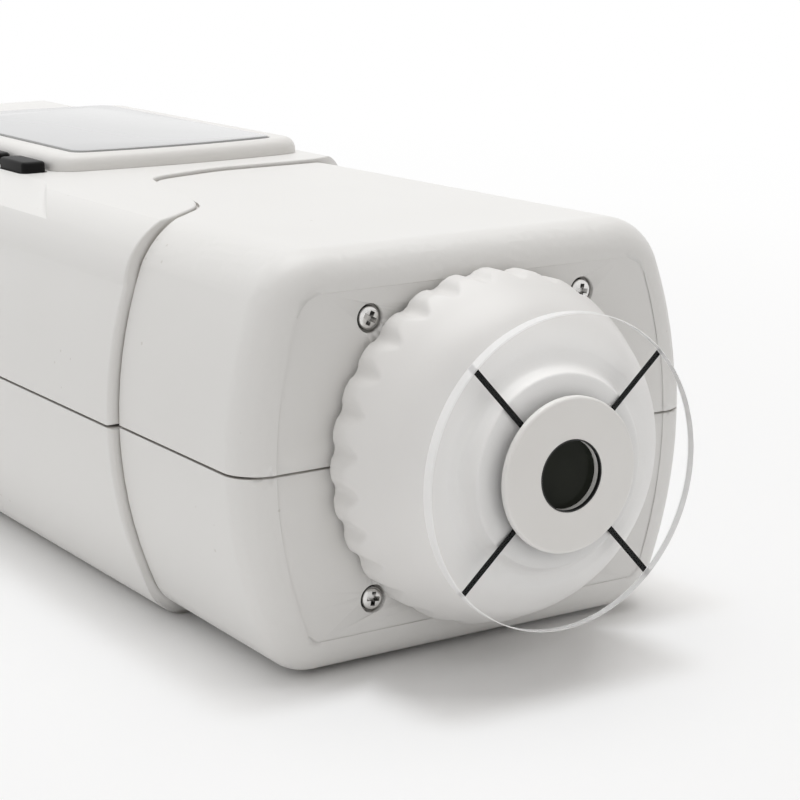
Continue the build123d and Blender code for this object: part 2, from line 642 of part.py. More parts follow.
def build_battery():
    """Rechargeable pack."""
    length, width, height = BATTERY_SIZE
    low = COVER_RISE + COVER_SIZE[2] + BATTERY_ROOM
    pack = slab(BATTERY_X - length / 2, BATTERY_X + length / 2, -width / 2, width / 2, low, low + height)
    return fillet(pack.edges().filter_by(Axis.X), 4.0)


def usb_block(grow):
    """A block with the outline of the data socket, through the rear wall."""
    width, height, depth = USB_SIZE
    outline = RectangleRounded(width + 2 * grow, height + 2 * grow, height / 2 - 0.1 + grow)
    return along_x(Plane.YZ * Pos(USB_Y, REAR_SOCKET_Z) * outline, REAR_END - 1.0, REAR_END + depth + 1.0)


def build_usb_socket():
    """Data socket: a flat metal sleeve with a tongue inside."""
    width, height, depth = USB_SIZE
    limits = slab(REAR_END + 0.2, REAR_END + 0.2 + depth, -BEYOND, BEYOND, 0, BEYOND)
    sleeve = (usb_block(0) & limits) - usb_block(-0.35)
    back = limits & usb_block(0) & Pos(depth - 1.0, 0, 0) * limits
    tongue = slab(REAR_END + 1.2, REAR_END + depth, USB_Y - 3.3, USB_Y + 3.3, REAR_SOCKET_Z - 0.35,
                  REAR_SOCKET_Z + 0.35)
    return sleeve + back + tongue


def build_dc_socket():
    """Charging socket: a round barrel, open to the rear."""
    z = REAR_SOCKET_Z - AXIS_Z
    barrel = rod_x(DC_RADIUS, REAR_END + 0.2, REAR_END + SOCKET_DEPTH, DC_Y, z)
    return barrel - rod_x(DC_BORE, REAR_END - 1, REAR_END + SOCKET_DEPTH - 1.5, DC_Y, z)


def build_dc_pin():
    """Centre pin of the charging socket."""
    z = REAR_SOCKET_Z - AXIS_Z
    pin = rod_x(DC_PIN, REAR_END + 1.5, REAR_END + SOCKET_DEPTH - 1.5, DC_Y, z)
    return fillet(pin.faces().sort_by(Axis.X)[0].edges(), 0.5)


def rocker_box(size, x_low, x_high, grow=0.0):
    """A block round the middle of the power switch."""
    return slab(x_low, x_high, ROCKER_Y - size[0] / 2 - grow, ROCKER_Y + size[0] / 2 + grow,
                REAR_SOCKET_Z - size[1] / 2 - grow, REAR_SOCKET_Z + size[1] / 2 + grow)


def rocker_hole(grow):
    """Recess and hole for the power switch, in the rear wall."""
    recess = rocker_box(ROCKER_FLANGE, REAR_END - 1, REAR_END + ROCKER_FLANGE[2] + grow, grow)
    return recess + rocker_box(ROCKER_BODY, REAR_END, REAR_END + 6, grow)


def rocker_pin(radius, reach):
    """A bar across the power switch, on its pivot."""
    pin = Rot(90, 0, 0) * Cylinder(radius, 2 * reach)
    return Pos(REAR_END + ROCKER_PIVOT_DEPTH, ROCKER_Y, REAR_SOCKET_Z) * pin


def build_rocker_frame():
    """Frame of the power switch, flush with the rear end."""
    flange = rocker_box(ROCKER_FLANGE, REAR_END, REAR_END + ROCKER_FLANGE[2])
    body = rocker_box(ROCKER_BODY, REAR_END + 0.1, REAR_END + ROCKER_BODY[2])
    opening = (ROCKER_CAP[0] + 2 * CLEARANCE, ROCKER_CAP[1] + 4 * CLEARANCE)
    frame = flange + body - rocker_box(opening, REAR_END - 1, REAR_END + ROCKER_BODY[2] - 1.2)
    return frame - rocker_pin(ROCKER_PIN + RUNNING_FIT, ROCKER_BODY[0])


def build_power_rocker():
    """Rocker of the power switch: two shallow slopes that meet over a level pivot, shown switched off."""
    half = ROCKER_CAP[1] / 2
    pivot_x = REAR_END + ROCKER_PIVOT_DEPTH
    face_x = -ROCKER_PIVOT_DEPTH + 1.0
    dish = face_x + half * math.tan(math.radians(ROCKER_TILT))
    outline = make_face(Polyline((face_x, -half), (dish, 0), (face_x, half), (0.4, half - 1.0),
                                 (1.4, 0), (0.4, -half + 1.0), close=True))
    cap = extrude(Plane.XZ * outline, ROCKER_CAP[0] / 2, both=True)
    rocker = Pos(pivot_x, ROCKER_Y, REAR_SOCKET_Z) * Rot(0, ROCKER_TILT, 0) * cap
    return rocker + rocker_pin(ROCKER_PIN, ROCKER_PIN_REACH)


# ---------------------------------------------------------------- screws
def cross_recess(reach, width, depth):
    """A cross-shaped recess, opening downwards at z = 0."""
    return Box(2 * reach, width, 2 * depth) + Box(width, 2 * reach, 2 * depth)


def build_face_screws():
    """Four pan-head screws that hold the shells to the front chassis."""
    seat = FACE - RECESS_DEPTH
    screws = []
    for y, z in face_screw_spots():
        head = rod_x(FACE_SCREW_HEAD, seat, seat + 1.0, y, z)
        head = fillet(head.faces().sort_by(Axis.X)[-1].edges(), 0.55)
        cross = Pos(seat + 1.0, y, AXIS_Z + z) * Rot(0, 90, 0) * Rot(0, 0, 45) * cross_recess(*FACE_SCREW_CROSS)
        shank = rod_x(FACE_SCREW_SHANK, CHASSIS_REAR + 0.4, seat, y, z)
        screws.append(head - cross + shank)
    return Compound(screws)


def build_shell_screws():
    """Four screws in the underside that clamp the shells together."""
    screws = []
    for x, y in shell_screw_spots():
        head = rod_z(SHELL_HEAD_RADIUS, x, y, SHELL_HEAD_SEAT - 1.5, SHELL_HEAD_SEAT)
        cross = Pos(x, y, SHELL_HEAD_SEAT - 1.5) * cross_recess(1.3, 0.5, 0.8)
        shank = rod_z(SHELL_SHANK, x, y, SHELL_HEAD_SEAT - 0.1, AXIS_Z + 10)
        screws.append(head - cross + shank)
    return Compound(screws)


# ---------------------------------------------------------------- optics inside the head
def lug_ring(grow, x_low, x_high, turn=0.0):
    """Three bayonet lugs, or the room they need when grown by a gap."""
    lugs = []
    reach = COLLAR_RADIUS + LUG_PROUD + grow
    bar = slab(x_low, x_high, -LUG_WIDTH / 2 - grow, LUG_WIDTH / 2 + grow, COLLAR_RADIUS - 1.0, reach)
    for index in range(3):
        angle = 120.0 * index + turn
        lugs.append(Pos(0, 0, AXIS_Z) * Rot(angle, 0, 0) * bar)
    return lugs


def build_chassis():
    """Front chassis: plate behind the front wall, bayonet collar through it, and the light tube."""
    plate = slab(CHASSIS_REAR, CHASSIS_REAR + CHASSIS_PLATE, -25, 25, AXIS_Z - 19.5, AXIS_Z + 19.5)
    plate = fillet(plate.edges().filter_by(Axis.X), 6.0)
    chassis = plate + rod_x(COLLAR_RADIUS, CHASSIS_REAR, COLLAR_FRONT)
    for lug in lug_ring(0, LUG_FRONT - LUG_THICKNESS, LUG_FRONT):
        chassis = chassis + lug
    chassis = chassis - rod_x(COLLAR_RADIUS - COLLAR_WALL, CHASSIS_REAR + CHASSIS_PLATE, COLLAR_FRONT + 1)
    chassis = chassis + rod_x(TUBE_RADIUS, CHASSIS_REAR - 5.0, TUBE_FRONT)
    chassis = chassis - rod_x(TUBE_RADIUS - TUBE_WALL, CHASSIS_REAR - 6.0, TUBE_FRONT + 1)
    for y, z in face_screw_spots():
        chassis = chassis - rod_x(FACE_SCREW_SHANK + 0.05, CHASSIS_REAR - 1, FACE, y, z)
    return chassis


def build_sphere():
    """White integrating sphere with a front port and a sensor port."""
    ball = at(SPHERE_X) * (Sphere(SPHERE_RADIUS) - Sphere(SPHERE_RADIUS - SPHERE_WALL))
    ball = ball - rod_x(TUBE_RADIUS - TUBE_WALL + 0.2, SPHERE_X, SPHERE_X + SPHERE_RADIUS + 1)
    return ball - rod_x(SENSOR_BORE, SPHERE_X - SPHERE_RADIUS - 1, SPHERE_X)


def build_lamp_board():
    """Ring-shaped board behind the chassis, round the light tube."""
    front = CHASSIS_REAR - 1.0
    return rod_x(LAMP_BOARD_RADIUS, front - BOARD, front) - rod_x(TUBE_RADIUS + CLEARANCE, front - 3, front + 1)


def build_lamps():
    """Lamps on the ring-shaped board."""
    rear = CHASSIS_REAR - 1.0 - BOARD
    lamps = []
    for index in range(LAMP_COUNT):
        angle = math.radians(360.0 / LAMP_COUNT * index)
        lamp = rod_x(LAMP_RADIUS, rear - LAMP_RADIUS, rear, LAMP_CIRCLE * math.cos(angle),
                     LAMP_CIRCLE * math.sin(angle))
        lamps.append(fillet(lamp.faces().sort_by(Axis.X)[0].edges(), 0.9))
    return Compound(lamps)


def build_sensor_board():
    """Upright board behind the sphere."""
    front = SPHERE_X - SPHERE_RADIUS - 2.8
    return at(front - BOARD / 2) * Box(BOARD, *SENSOR_BOARD_SIZE)


def build_sensor_tube():
    """Tube between the sensor and the sphere's rear port."""
    rear = SPHERE_X - SPHERE_RADIUS - 2.8
    tube = rod_x(SENSOR_BORE + 1.0, rear, rear + 2.9)
    return tube - rod_x(SENSOR_BORE, rear + 0.8, rear + 4)


# ---------------------------------------------------------------- nose
def wavy_prism():
    """The fluted outline of the nose cap: shallow hollows between rounded ridges."""
    middle = NOSE_RADIUS - FLUTE_DEPTH / 2
    count = FLUTES * POINTS_PER_FLUTE
    points = []
    for index in range(count):
        angle = 2 * math.pi * index / count
        radius = middle + FLUTE_DEPTH / 2 * math.cos(FLUTES * angle)
        points.append((radius * math.cos(angle), radius * math.sin(angle)))
    outline = make_face(Spline(*points, periodic=True))
    return along_x(Plane.YZ * Pos(0, AXIS_Z) * outline, FACE, NECK_FRONT + 1)


def build_nose_cap():
    """White cap that locks on the collar: fluted grip, smooth dome, hollow shoulder and neck."""
    rear = NOSE_GAP
    front = NECK_FRONT - FACE
    bore = COLLAR_RADIUS + RUNNING_FIT
    sleeve = SLEEVE_RADIUS + RUNNING_FIT
    sleeve_rear = SLEEVE_REAR - FACE
    dome_end = (front - 1.9, NECK_RADIUS + 2.4)
    hollow_end = (front - 0.9, NECK_RADIUS + 0.25)
    outline = make_face([
        Line((rear, bore), (rear, NOSE_RADIUS - 0.5)),
        Line((rear, NOSE_RADIUS - 0.5), (rear + 0.4, NOSE_RADIUS + 0.1)),
        Line((rear + 0.4, NOSE_RADIUS + 0.1), (2.6, NOSE_RADIUS + 0.1)),
        Spline((2.6, NOSE_RADIUS + 0.1), (7.6, NOSE_RADIUS - 1.75), (11.2, NOSE_RADIUS - 4.0), dome_end,
               tangents=[(1, 0), (0.25, -1)]),
        ThreePointArc(dome_end, (front - 1.72, NECK_RADIUS + 0.9), hollow_end),
        Line(hollow_end, (front - 0.35, NECK_RADIUS + 0.12)),
        ThreePointArc((front - 0.35, NECK_RADIUS + 0.12), (front - 0.1, NECK_RADIUS),
                      (front, NECK_RADIUS - 0.3)),
        Line((front, NECK_RADIUS - 0.3), (front, sleeve)),
        Line((front, sleeve), (sleeve_rear - CLEARANCE, sleeve)),
        Line((sleeve_rear - CLEARANCE, sleeve), (sleeve_rear - CLEARANCE, 10.2)),
        Line((sleeve_rear - CLEARANCE, 10.2), (COLLAR_FRONT - FACE + 0.4, 15.4)),
        Line((COLLAR_FRONT - FACE + 0.4, 15.4), (COLLAR_FRONT - FACE + 0.4, bore)),
        Line((COLLAR_FRONT - FACE + 0.4, bore), (rear, bore)),
    ])
    cap = Pos(FACE, 0, AXIS_Z) * revolve(Plane.XY * outline, Axis.X)
    cap = cap & wavy_prism()
    groove_low = LUG_FRONT - LUG_THICKNESS - CLEARANCE
    groove_high = LUG_FRONT + CLEARANCE
    groove_radius = COLLAR_RADIUS + LUG_PROUD + 0.2
    cap = cap - rod_x(groove_radius, groove_low, groove_high)
    for slot in lug_ring(0.2, FACE, groove_high, turn=LUG_TURN):
        cap = cap - slot
    return cap


def sight_line_bars(grow, depth):
    """Four radial bars at the back of the positioning disc, at 45 degrees."""
    bars = []
    bar = slab(DISC_REAR, DISC_REAR + depth, -LINE_WIDTH / 2 - grow, LINE_WIDTH / 2 + grow,
               HUB_RADIUS - 0.8 - grow, DISC_RADIUS - 0.05 + grow)
    for index in range(4):
        bars.append(Pos(0, 0, AXIS_Z) * Rot(45.0 + 90.0 * index, 0, 0) * bar)
    return bars


def build_positioning_disc():
    """Clear disc that is held against the work, with grooves for the sight lines."""
    front = DISC_REAR + DISC_THICKNESS
    disc = rod_x(DISC_RADIUS, DISC_REAR, front)
    disc = chamfer(disc.faces().sort_by(Axis.X)[-1].edges(), 0.12)
    disc = disc - rod_x(SLEEVE_RADIUS + 0.1, DISC_REAR - 1, front + 1)
    for bar in sight_line_bars(0.02, LINE_DEPTH + 0.02):
        disc = disc - bar
    return disc


def build_hub_ring():
    """White hub in front of the disc, with a sleeve that plugs into the neck of the nose cap."""
    flange = rod_x(HUB_RADIUS, HUB_FACE - HUB_PROUD, HUB_FACE)
    flange = fillet(flange.faces().sort_by(Axis.X)[-1].edges(), HUB_ROUND)
    hub = flange + rod_x(SLEEVE_RADIUS, SLEEVE_REAR, HUB_FACE - HUB_PROUD)
    glass_front = HUB_FACE - APERTURE_DEPTH
    hub = hub - rod_x(APERTURE_RADIUS, glass_front - 1, HUB_FACE + 1)
    hub = hub - rod_x(APERTURE_RADIUS + RIM_WALL, HUB_FACE - RIM_DEPTH, HUB_FACE + 1)
    return hub - rod_x(GLASS_RADIUS + 0.05, SLEEVE_REAR - 1, glass_front)


def tube_x(outer, inner, x_low, x_high):
    """A plain ring on the measuring axis."""
    return rod_x(outer, x_low, x_high) - rod_x(inner, x_low - 1, x_high + 1)


# ---------------------------------------------------------------- write every piece
def main():
    """Build every piece and write it to its own file."""
    solid = housing_solid() - panel_recess()
    save("upper_shell", build_upper_shell(solid))
    save("lower_shell", build_lower_shell(solid))
    save("display_bezel", build_bezel())
    save("display_window", build_window())
    save("display_module", build_display_module())
    for index, name in enumerate(KEY_NAMES):
        save(name, build_key(index))
    save("key_board", build_key_board())
    save("measure_button", build_button())
    save("button_board", build_button_board())
    save("main_board", build_main_board())
    save("battery_pack", build_battery())
    save("battery_cover", build_battery_cover())
    save("cover_screw", build_cover_screw())
    save("usb_socket", build_usb_socket())
    save("dc_socket", build_dc_socket())
    save("dc_pin", build_dc_pin())
    save("rocker_frame", build_rocker_frame())
    save("power_rocker", build_power_rocker())
    save("face_screws", build_face_screws())
    save("shell_screws", build_shell_screws())
    save("front_chassis", build_chassis())
    save("integrating_sphere", build_sphere())
    save("lamp_board", build_lamp_board())
    save("lamps", build_lamps())
    save("sensor_board", build_sensor_board())
    save("sensor_tube", build_sensor_tube())
    save("nose_cap", build_nose_cap())
    save("positioning_disc", build_positioning_disc())
    save("sight_lines", Compound(sight_line_bars(0, LINE_DEPTH)))
    save("hub_ring", build_hub_ring())
    rim_rear = HUB_FACE - RIM_DEPTH
    save("aperture_rim", tube_x(APERTURE_RADIUS + RIM_WALL, APERTURE_RADIUS, rim_rear, HUB_FACE))
    glass_front = HUB_FACE - APERTURE_DEPTH
    glass_rear = glass_front - GLASS_THICKNESS
    save("aperture_glass", rod_x(GLASS_RADIUS, glass_rear, glass_front))
    save("glass_retainer", tube_x(GLASS_RADIUS, APERTURE_RADIUS, glass_rear - 1.0, glass_rear))


if __name__ == "__main__":
    main()
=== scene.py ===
# %% [markdown]
# # Handheld colorimeter
# The instrument is a white moulded housing with a fluted nose cap. A clear disc on the nose is held
# against the work, and a small window in its white hub lets the instrument see the colour. This
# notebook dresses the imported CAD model: the model comes in as a fixed frame, and each finished piece
# is built in the same place, in metres, and rides on the CAD body that it belongs to.

# %% Load the frame
import math
import bpy
import bmesh
from mathutils import Matrix, Vector


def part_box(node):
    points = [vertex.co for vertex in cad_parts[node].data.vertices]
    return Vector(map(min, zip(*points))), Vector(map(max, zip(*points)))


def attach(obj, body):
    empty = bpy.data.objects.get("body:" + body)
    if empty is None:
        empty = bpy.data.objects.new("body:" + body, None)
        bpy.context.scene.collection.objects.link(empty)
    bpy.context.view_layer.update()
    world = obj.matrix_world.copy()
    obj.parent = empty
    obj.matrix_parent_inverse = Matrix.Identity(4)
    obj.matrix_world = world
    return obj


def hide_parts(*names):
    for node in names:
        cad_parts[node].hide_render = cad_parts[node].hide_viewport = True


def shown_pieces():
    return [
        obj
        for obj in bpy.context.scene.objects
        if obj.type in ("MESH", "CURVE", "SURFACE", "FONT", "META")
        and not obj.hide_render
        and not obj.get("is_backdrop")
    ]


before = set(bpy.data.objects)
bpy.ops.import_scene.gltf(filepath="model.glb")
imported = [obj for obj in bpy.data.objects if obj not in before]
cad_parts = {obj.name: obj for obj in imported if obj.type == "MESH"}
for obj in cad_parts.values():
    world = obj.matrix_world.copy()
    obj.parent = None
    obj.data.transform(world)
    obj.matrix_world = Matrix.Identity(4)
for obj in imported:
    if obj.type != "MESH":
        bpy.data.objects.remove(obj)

scene = bpy.context.scene
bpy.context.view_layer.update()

# %% [markdown]
# ## Sizes
# The pieces follow the sizes of the CAD model. They are written here in millimetres, as a designer
# would say them, and a single scale turns them into Blender's metres when a mesh is made.

# %% Sizes
MM = 0.001
AXIS = 25.4               # height of the measuring axis
FACE = 84.5               # front face of the housing
HUB_FACE = 102.5          # front of the white hub
PLATEAU = 49.8            # flat top that carries the display
BEZEL_TOP = 52.15
WINDOW_TOP = 52.4         # the window stands a little above its frame
WINDOW_LOW = WINDOW_TOP - 1.2
DISPLAY_X = FACE - 79.3 - 32.25
DISPLAY_Y = 3.5
nose_low, nose_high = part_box("nose_cap")
print("nose cap, mm:", [round(1000 * value, 2) for value in (*nose_low, *nose_high)])

# %% [markdown]
# ## Camera
# A long lens from a little above the nose keeps the upright edges nearly parallel, as in a catalogue.
# The camera is placed by its position and by the three axes of its own frame, which is exact and
# needs no constraint.

# %% Camera
CAMERA_PLACE = (0.29362, -0.14377, 0.09045)
CAMERA_RIGHT = (0.5376, 0.8432, -0.0082)
CAMERA_BACK = (0.8216, -0.5217, 0.2297)       # points away from what the camera looks at
FOCAL_LENGTH = 100.49                         # for a frame of the width below, both in millimetres
FRAME_WIDTH = 36.0
NEAREST, FARTHEST = 0.01, 50.0


def linked(name, data):
    """An object with this data, in the scene."""
    thing = bpy.data.objects.new(name, data)
    scene.collection.objects.link(thing)
    return thing


camera_data = bpy.data.cameras.new("camera")
camera = linked("camera", camera_data)
right = Vector(CAMERA_RIGHT).normalized()
back = Vector(CAMERA_BACK).normalized()
up = back.cross(right).normalized()
turn = Matrix((right, up, back)).transposed()
camera.matrix_world = Matrix.Translation(CAMERA_PLACE) @ turn.to_4x4()
camera_data.lens = FOCAL_LENGTH
camera_data.sensor_width = FRAME_WIDTH
camera_data.clip_start = NEAREST
camera_data.clip_end = FARTHEST
scene.camera = camera
scene.view_settings.view_transform = "Standard"
print("camera elevation, degrees:", round(math.degrees(math.asin(back.z)), 1))

# %% [markdown]
# ## Floor, light and world
# The instrument lies on a white sweep. The floor must look white to the camera and in reflections,
# and still carry a soft shadow. So its material mixes plain white paint with a white glow that only
# camera, glossy and transmission rays see. The share of glow grows with the distance from the
# instrument, so the shadow on the paint is full under it, faint around it and gone farther away.
# The light itself stays at a level where a white surface that faces it renders at about its own
# colour.

# %% Floor
NEAR_GLOW = 0.71          # share of plain white beside the instrument's soft shadow
NEAR_WHITE = 0.93         # how white the sheet is beside the instrument; it reaches 1 far away
FAR_GLOW = 0.29           # and what is added towards the horizon
FLOOR_HALF = 6.0          # half the side of the sheet; this and all below in metres
BODY_SHADE = ((-0.009, 0.0), (0.0935, 0.032))     # middle and half sides of the body's deep shadow
NOSE_SHADE = ((0.092, 0.0), (0.008, 0.014))       # and of the shadow under the nose
NEAR_FADE = (0.0003, 0.0085)                      # distances over which the near glow sets in
FAR_FADE = (0.06, 0.4)                            # and the far glow
WHITE_FADE = (0.04, 0.25)                         # and the full white


def calculate(tree, operation, *operands, clamp=False):
    """A math node, for shaders and geometry alike; each operand is a number or a socket."""
    node = tree.nodes.new("ShaderNodeMath")
    node.operation = operation
    node.use_clamp = clamp
    for index, value in enumerate(operands):
        if isinstance(value, (int, float)):
            node.inputs[index].default_value = value
        else:
            tree.links.new(value, node.inputs[index])
    return node.outputs[0]


def preset(node, **values):
    """Set inputs of a node to plain values; an underscore stands for a space."""
    for label, value in values.items():
        node.inputs[label.replace("_", " ")].default_value = value
    return node


def empty_material(name):
    """A material without nodes, and its tree."""
    material = bpy.data.materials.new(name)
    material.use_nodes = True
    material.node_tree.nodes.clear()
    return material, material.node_tree


def mix_shaders(tree, share, first, second):
    """Two shaders in one: a share of 0 shows the first, 1 the second."""
    blend = tree.nodes.new("ShaderNodeMixShader")
    for index, socket in enumerate((share, first.outputs[0], second.outputs[0])):
        tree.links.new(socket, blend.inputs[index])
    return blend


def connect_surface(tree, shader, kind="Material"):
    """Lead a shader to the output of a material or of the world."""
    out = tree.nodes.new("ShaderNodeOutput" + kind)
    tree.links.new(shader.outputs[0], out.inputs["Surface"])


def mix_colours(tree, share, first, second):
    """Two colours in one; each is a value or a socket."""
    mix = tree.nodes.new("ShaderNodeMix")
    mix.data_type = "RGBA"
    tree.links.new(share, mix.inputs["Factor"])
    for label, colour in (("A", first), ("B", second)):
        if isinstance(colour, tuple):
            mix.inputs[label].default_value = colour
        else:
            tree.links.new(colour, mix.inputs[label])
    return mix.outputs["Result"]


def seen_rays(tree):
    """1 for camera, glossy and transmission rays, 0 for the rays that carry soft light."""
    path = tree.nodes.new("ShaderNodeLightPath")
    first = calculate(tree, "MAXIMUM", path.outputs["Is Camera Ray"], path.outputs["Is Glossy Ray"])
    return calculate(tree, "MAXIMUM", first, path.outputs["Is Transmission Ray"])


def outside_box(tree, place, centre, half):
    """How far a floor point lies outside a rectangle, in metres."""
    sides = []
    for axis, middle_at, reach in zip("XY", centre, half):
        offset = calculate(tree, "SUBTRACT", place.outputs[axis], middle_at)
        beyond = calculate(tree, "SUBTRACT", calculate(tree, "ABSOLUTE", offset), reach)
        sides.append(calculate(tree, "POWER", calculate(tree, "MAXIMUM", beyond, 0.0), 2.0))
    return calculate(tree, "SQRT", calculate(tree, "ADD", *sides))


def soft_step(tree, value, start, end, height):
    """A smooth rise from 0 at start to height at end."""
    rise = preset(tree.nodes.new("ShaderNodeMapRange"), From_Min=start, From_Max=end, To_Max=height)
    rise.interpolation_type = "SMOOTHSTEP"
    tree.links.new(value, rise.inputs["Value"])
    return rise.outputs["Result"]


def build_floor():
    """A large white sheet under the instrument."""
    mesh = bpy.data.meshes.new("floor")
    corners = [(FLOOR_HALF * x, FLOOR_HALF * y, 0) for x, y in ((-1, -1), (1, -1), (1, 1), (-1, 1))]
    mesh.from_pydata(corners, [], [(0, 1, 2, 3)])
    sheet = linked("floor", mesh)
    material, tree = empty_material("white_sweep")
    paint = preset(tree.nodes.new("ShaderNodeBsdfDiffuse"), Color=(0.98, 0.98, 0.98, 1))
    glow = preset(tree.nodes.new("ShaderNodeEmission"), Color=(1, 1, 1, 1))
    coordinates = tree.nodes.new("ShaderNodeTexCoord")
    place = tree.nodes.new("ShaderNodeSeparateXYZ")
    tree.links.new(coordinates.outputs["Object"], place.inputs[0])
    distance = calculate(tree, "MINIMUM", *(outside_box(tree, place, *box) for box in (BODY_SHADE, NOSE_SHADE)))
    near = soft_step(tree, distance, *NEAR_FADE, NEAR_GLOW)
    far = soft_step(tree, distance, *FAR_FADE, FAR_GLOW)
    brighter = soft_step(tree, distance, *WHITE_FADE, 1.0 - NEAR_WHITE)
    tree.links.new(calculate(tree, "ADD", brighter, NEAR_WHITE), glow.inputs["Strength"])
    share = calculate(tree, "MULTIPLY", calculate(tree, "ADD", near, far), seen_rays(tree), clamp=True)
    connect_surface(tree, mix_shaders(tree, share, paint, glow))
    mesh.materials.append(material)
    sheet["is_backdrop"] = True


build_floor()
print("glow shares of the floor:", NEAR_GLOW, FAR_GLOW)

# %% World
SKY = 0.4                 # strength of the soft light at right angles to its main direction
SKY_SIDE = 0.25           # what the main direction adds and the opposite one lacks
LIGHT_FROM = (-0.45, -0.5, 0.74)
WARM = (1.0, 0.93, 0.86, 1)
PURE = (1.0, 1.0, 1.0, 1)


def build_world():
    """Soft white surroundings, brighter and cooler from behind and above, plain white where they are seen."""
    world = bpy.data.worlds.new("studio")
    world.use_nodes = True
    tree = world.node_tree
    tree.nodes.clear()
    direction = tree.nodes.new("ShaderNodeTexCoord")
    facing = tree.nodes.new("ShaderNodeVectorMath")
    facing.operation = "DOT_PRODUCT"
    facing.inputs[1].default_value = LIGHT_FROM
    tree.links.new(direction.outputs["Generated"], facing.inputs[0])
    towards = facing.outputs["Value"]
    soft = tree.nodes.new("ShaderNodeBackground")
    tone = mix_colours(tree, calculate(tree, "MULTIPLY_ADD", towards, 0.5, 0.5), WARM, PURE)
    tree.links.new(tone, soft.inputs["Color"])
    tree.links.new(calculate(tree, "MULTIPLY_ADD", towards, SKY_SIDE, SKY), soft.inputs["Strength"])
    white = preset(tree.nodes.new("ShaderNodeBackground"), Color=PURE)
    connect_surface(tree, mix_shaders(tree, seen_rays(tree), soft, white), "World")
    return world


scene.world = build_world()
print("sky", SKY, "side", SKY_SIDE)

# %% Lamp
LAMP_PLACE = (-0.12, 0.1, 1.0)
LAMP_TARGET = (0.0, 0.0, 0.03)
LAMP_SIDE = 0.8
LAMP_POWER = 5.7


def soft_lamp(name, place, target, side, power):
    """A square soft box that looks at a point; sizes in metres."""
    data = bpy.data.lights.new(name, "AREA")
    data.shape = "RECTANGLE"
    data.size = data.size_y = side
    data.energy = power
    lamp = linked(name, data)
    lamp.location = place
    lamp.rotation_mode = "QUATERNION"
    lamp.rotation_quaternion = (Vector(target) - Vector(place)).to_track_quat("-Z", "Y")


soft_lamp("back softbox", LAMP_PLACE, LAMP_TARGET, LAMP_SIDE, LAMP_POWER)

# %% [markdown]
# ## Node groups for finishes
# Moulded plastic is never one flat colour. Three effects come back in every solid finish: the fine
# grain that a spark-eroded mould leaves, the slow drift of tone over a large moulding, and a little
# dust and handling dirt. A fourth one is painted shade: it darkens narrow gaps and grooves, on the
# shells and the screws, where the surface is hemmed in. Each effect is a node group with named
# inputs, built once and then set differently in each material.

# %% Group helpers


def shader_group(name, inputs, outputs):
    """An empty shader group with named float or colour inputs, and its end nodes."""
    group = bpy.data.node_groups.new(name, "ShaderNodeTree")
    for label, kind, value in inputs:
        socket = group.interface.new_socket(name=label, in_out="INPUT", socket_type=kind)
        socket.default_value = value
    for label, kind in outputs:
        group.interface.new_socket(name=label, in_out="OUTPUT", socket_type=kind)
    source = group.nodes.new("NodeGroupInput")
    target = group.nodes.new("NodeGroupOutput")
    return group, source, target


def object_noise(tree, scale, detail=3.0, roughness=0.5):
    """Noise on object coordinates; the scale is a number or a socket, in cells per metre."""
    place = tree.nodes.new("ShaderNodeTexCoord")
    noise = preset(tree.nodes.new("ShaderNodeTexNoise"), Detail=detail, Roughness=roughness)
    tree.links.new(place.outputs["Object"], noise.inputs["Vector"])
    if isinstance(scale, (int, float)):
        noise.inputs["Scale"].default_value = scale
    else:
        tree.links.new(scale, noise.inputs["Scale"])
    return noise


# %% Finish groups
SPECK_CELLS = 420.0       # possible specks of dust in a metre
SPECK_SIZE = 0.09         # size of a speck as a share of its cell


def build_grain():
    """Fine bumps of an eroded mould, as a normal."""
    group, source, target = shader_group(
        "moulded_grain",
        [("Scale", "NodeSocketFloat", 2600.0), ("Strength", "NodeSocketFloat", 0.15),
         ("Depth", "NodeSocketFloat", 0.00002)],
        [("Normal", "NodeSocketVector"), ("Height", "NodeSocketFloat")])
    fine = object_noise(group, source.outputs["Scale"], detail=4.0, roughness=0.6)
    wide = calculate(group, "MULTIPLY", source.outputs["Scale"], 0.23)
    slow = object_noise(group, wide, detail=2.0)
    mix = calculate(group, "MULTIPLY_ADD", slow.outputs["Fac"], 0.6, fine.outputs["Fac"])
    bump = group.nodes.new("ShaderNodeBump")
    group.links.new(source.outputs["Strength"], bump.inputs["Strength"])
    group.links.new(source.outputs["Depth"], bump.inputs["Distance"])
    group.links.new(mix, bump.inputs["Height"])
    group.links.new(bump.outputs["Normal"], target.inputs["Normal"])
    group.links.new(mix, target.inputs["Height"])
    return group


def build_drift():
    """A colour that drifts slowly between two tones."""
    group, source, target = shader_group(
        "tone_drift",
        [("Tone", "NodeSocketColor", (0.8, 0.8, 0.8, 1)), ("Other tone", "NodeSocketColor", (0.75, 0.75, 0.75, 1)),
         ("Scale", "NodeSocketFloat", 30.0), ("Amount", "NodeSocketFloat", 0.5)],
        [("Color", "NodeSocketColor"), ("Mask", "NodeSocketFloat")])
    noise = object_noise(group, source.outputs["Scale"])
    spread = preset(group.nodes.new("ShaderNodeMapRange"), From_Min=0.35, From_Max=0.65)
    group.links.new(noise.outputs["Fac"], spread.inputs["Value"])
    share = calculate(group, "MULTIPLY", spread.outputs["Result"], source.outputs["Amount"], clamp=True)
    tone = mix_colours(group, share, source.outputs["Tone"], source.outputs["Other tone"])
    group.links.new(tone, target.inputs["Color"])
    group.links.new(share, target.inputs["Mask"])
    return group


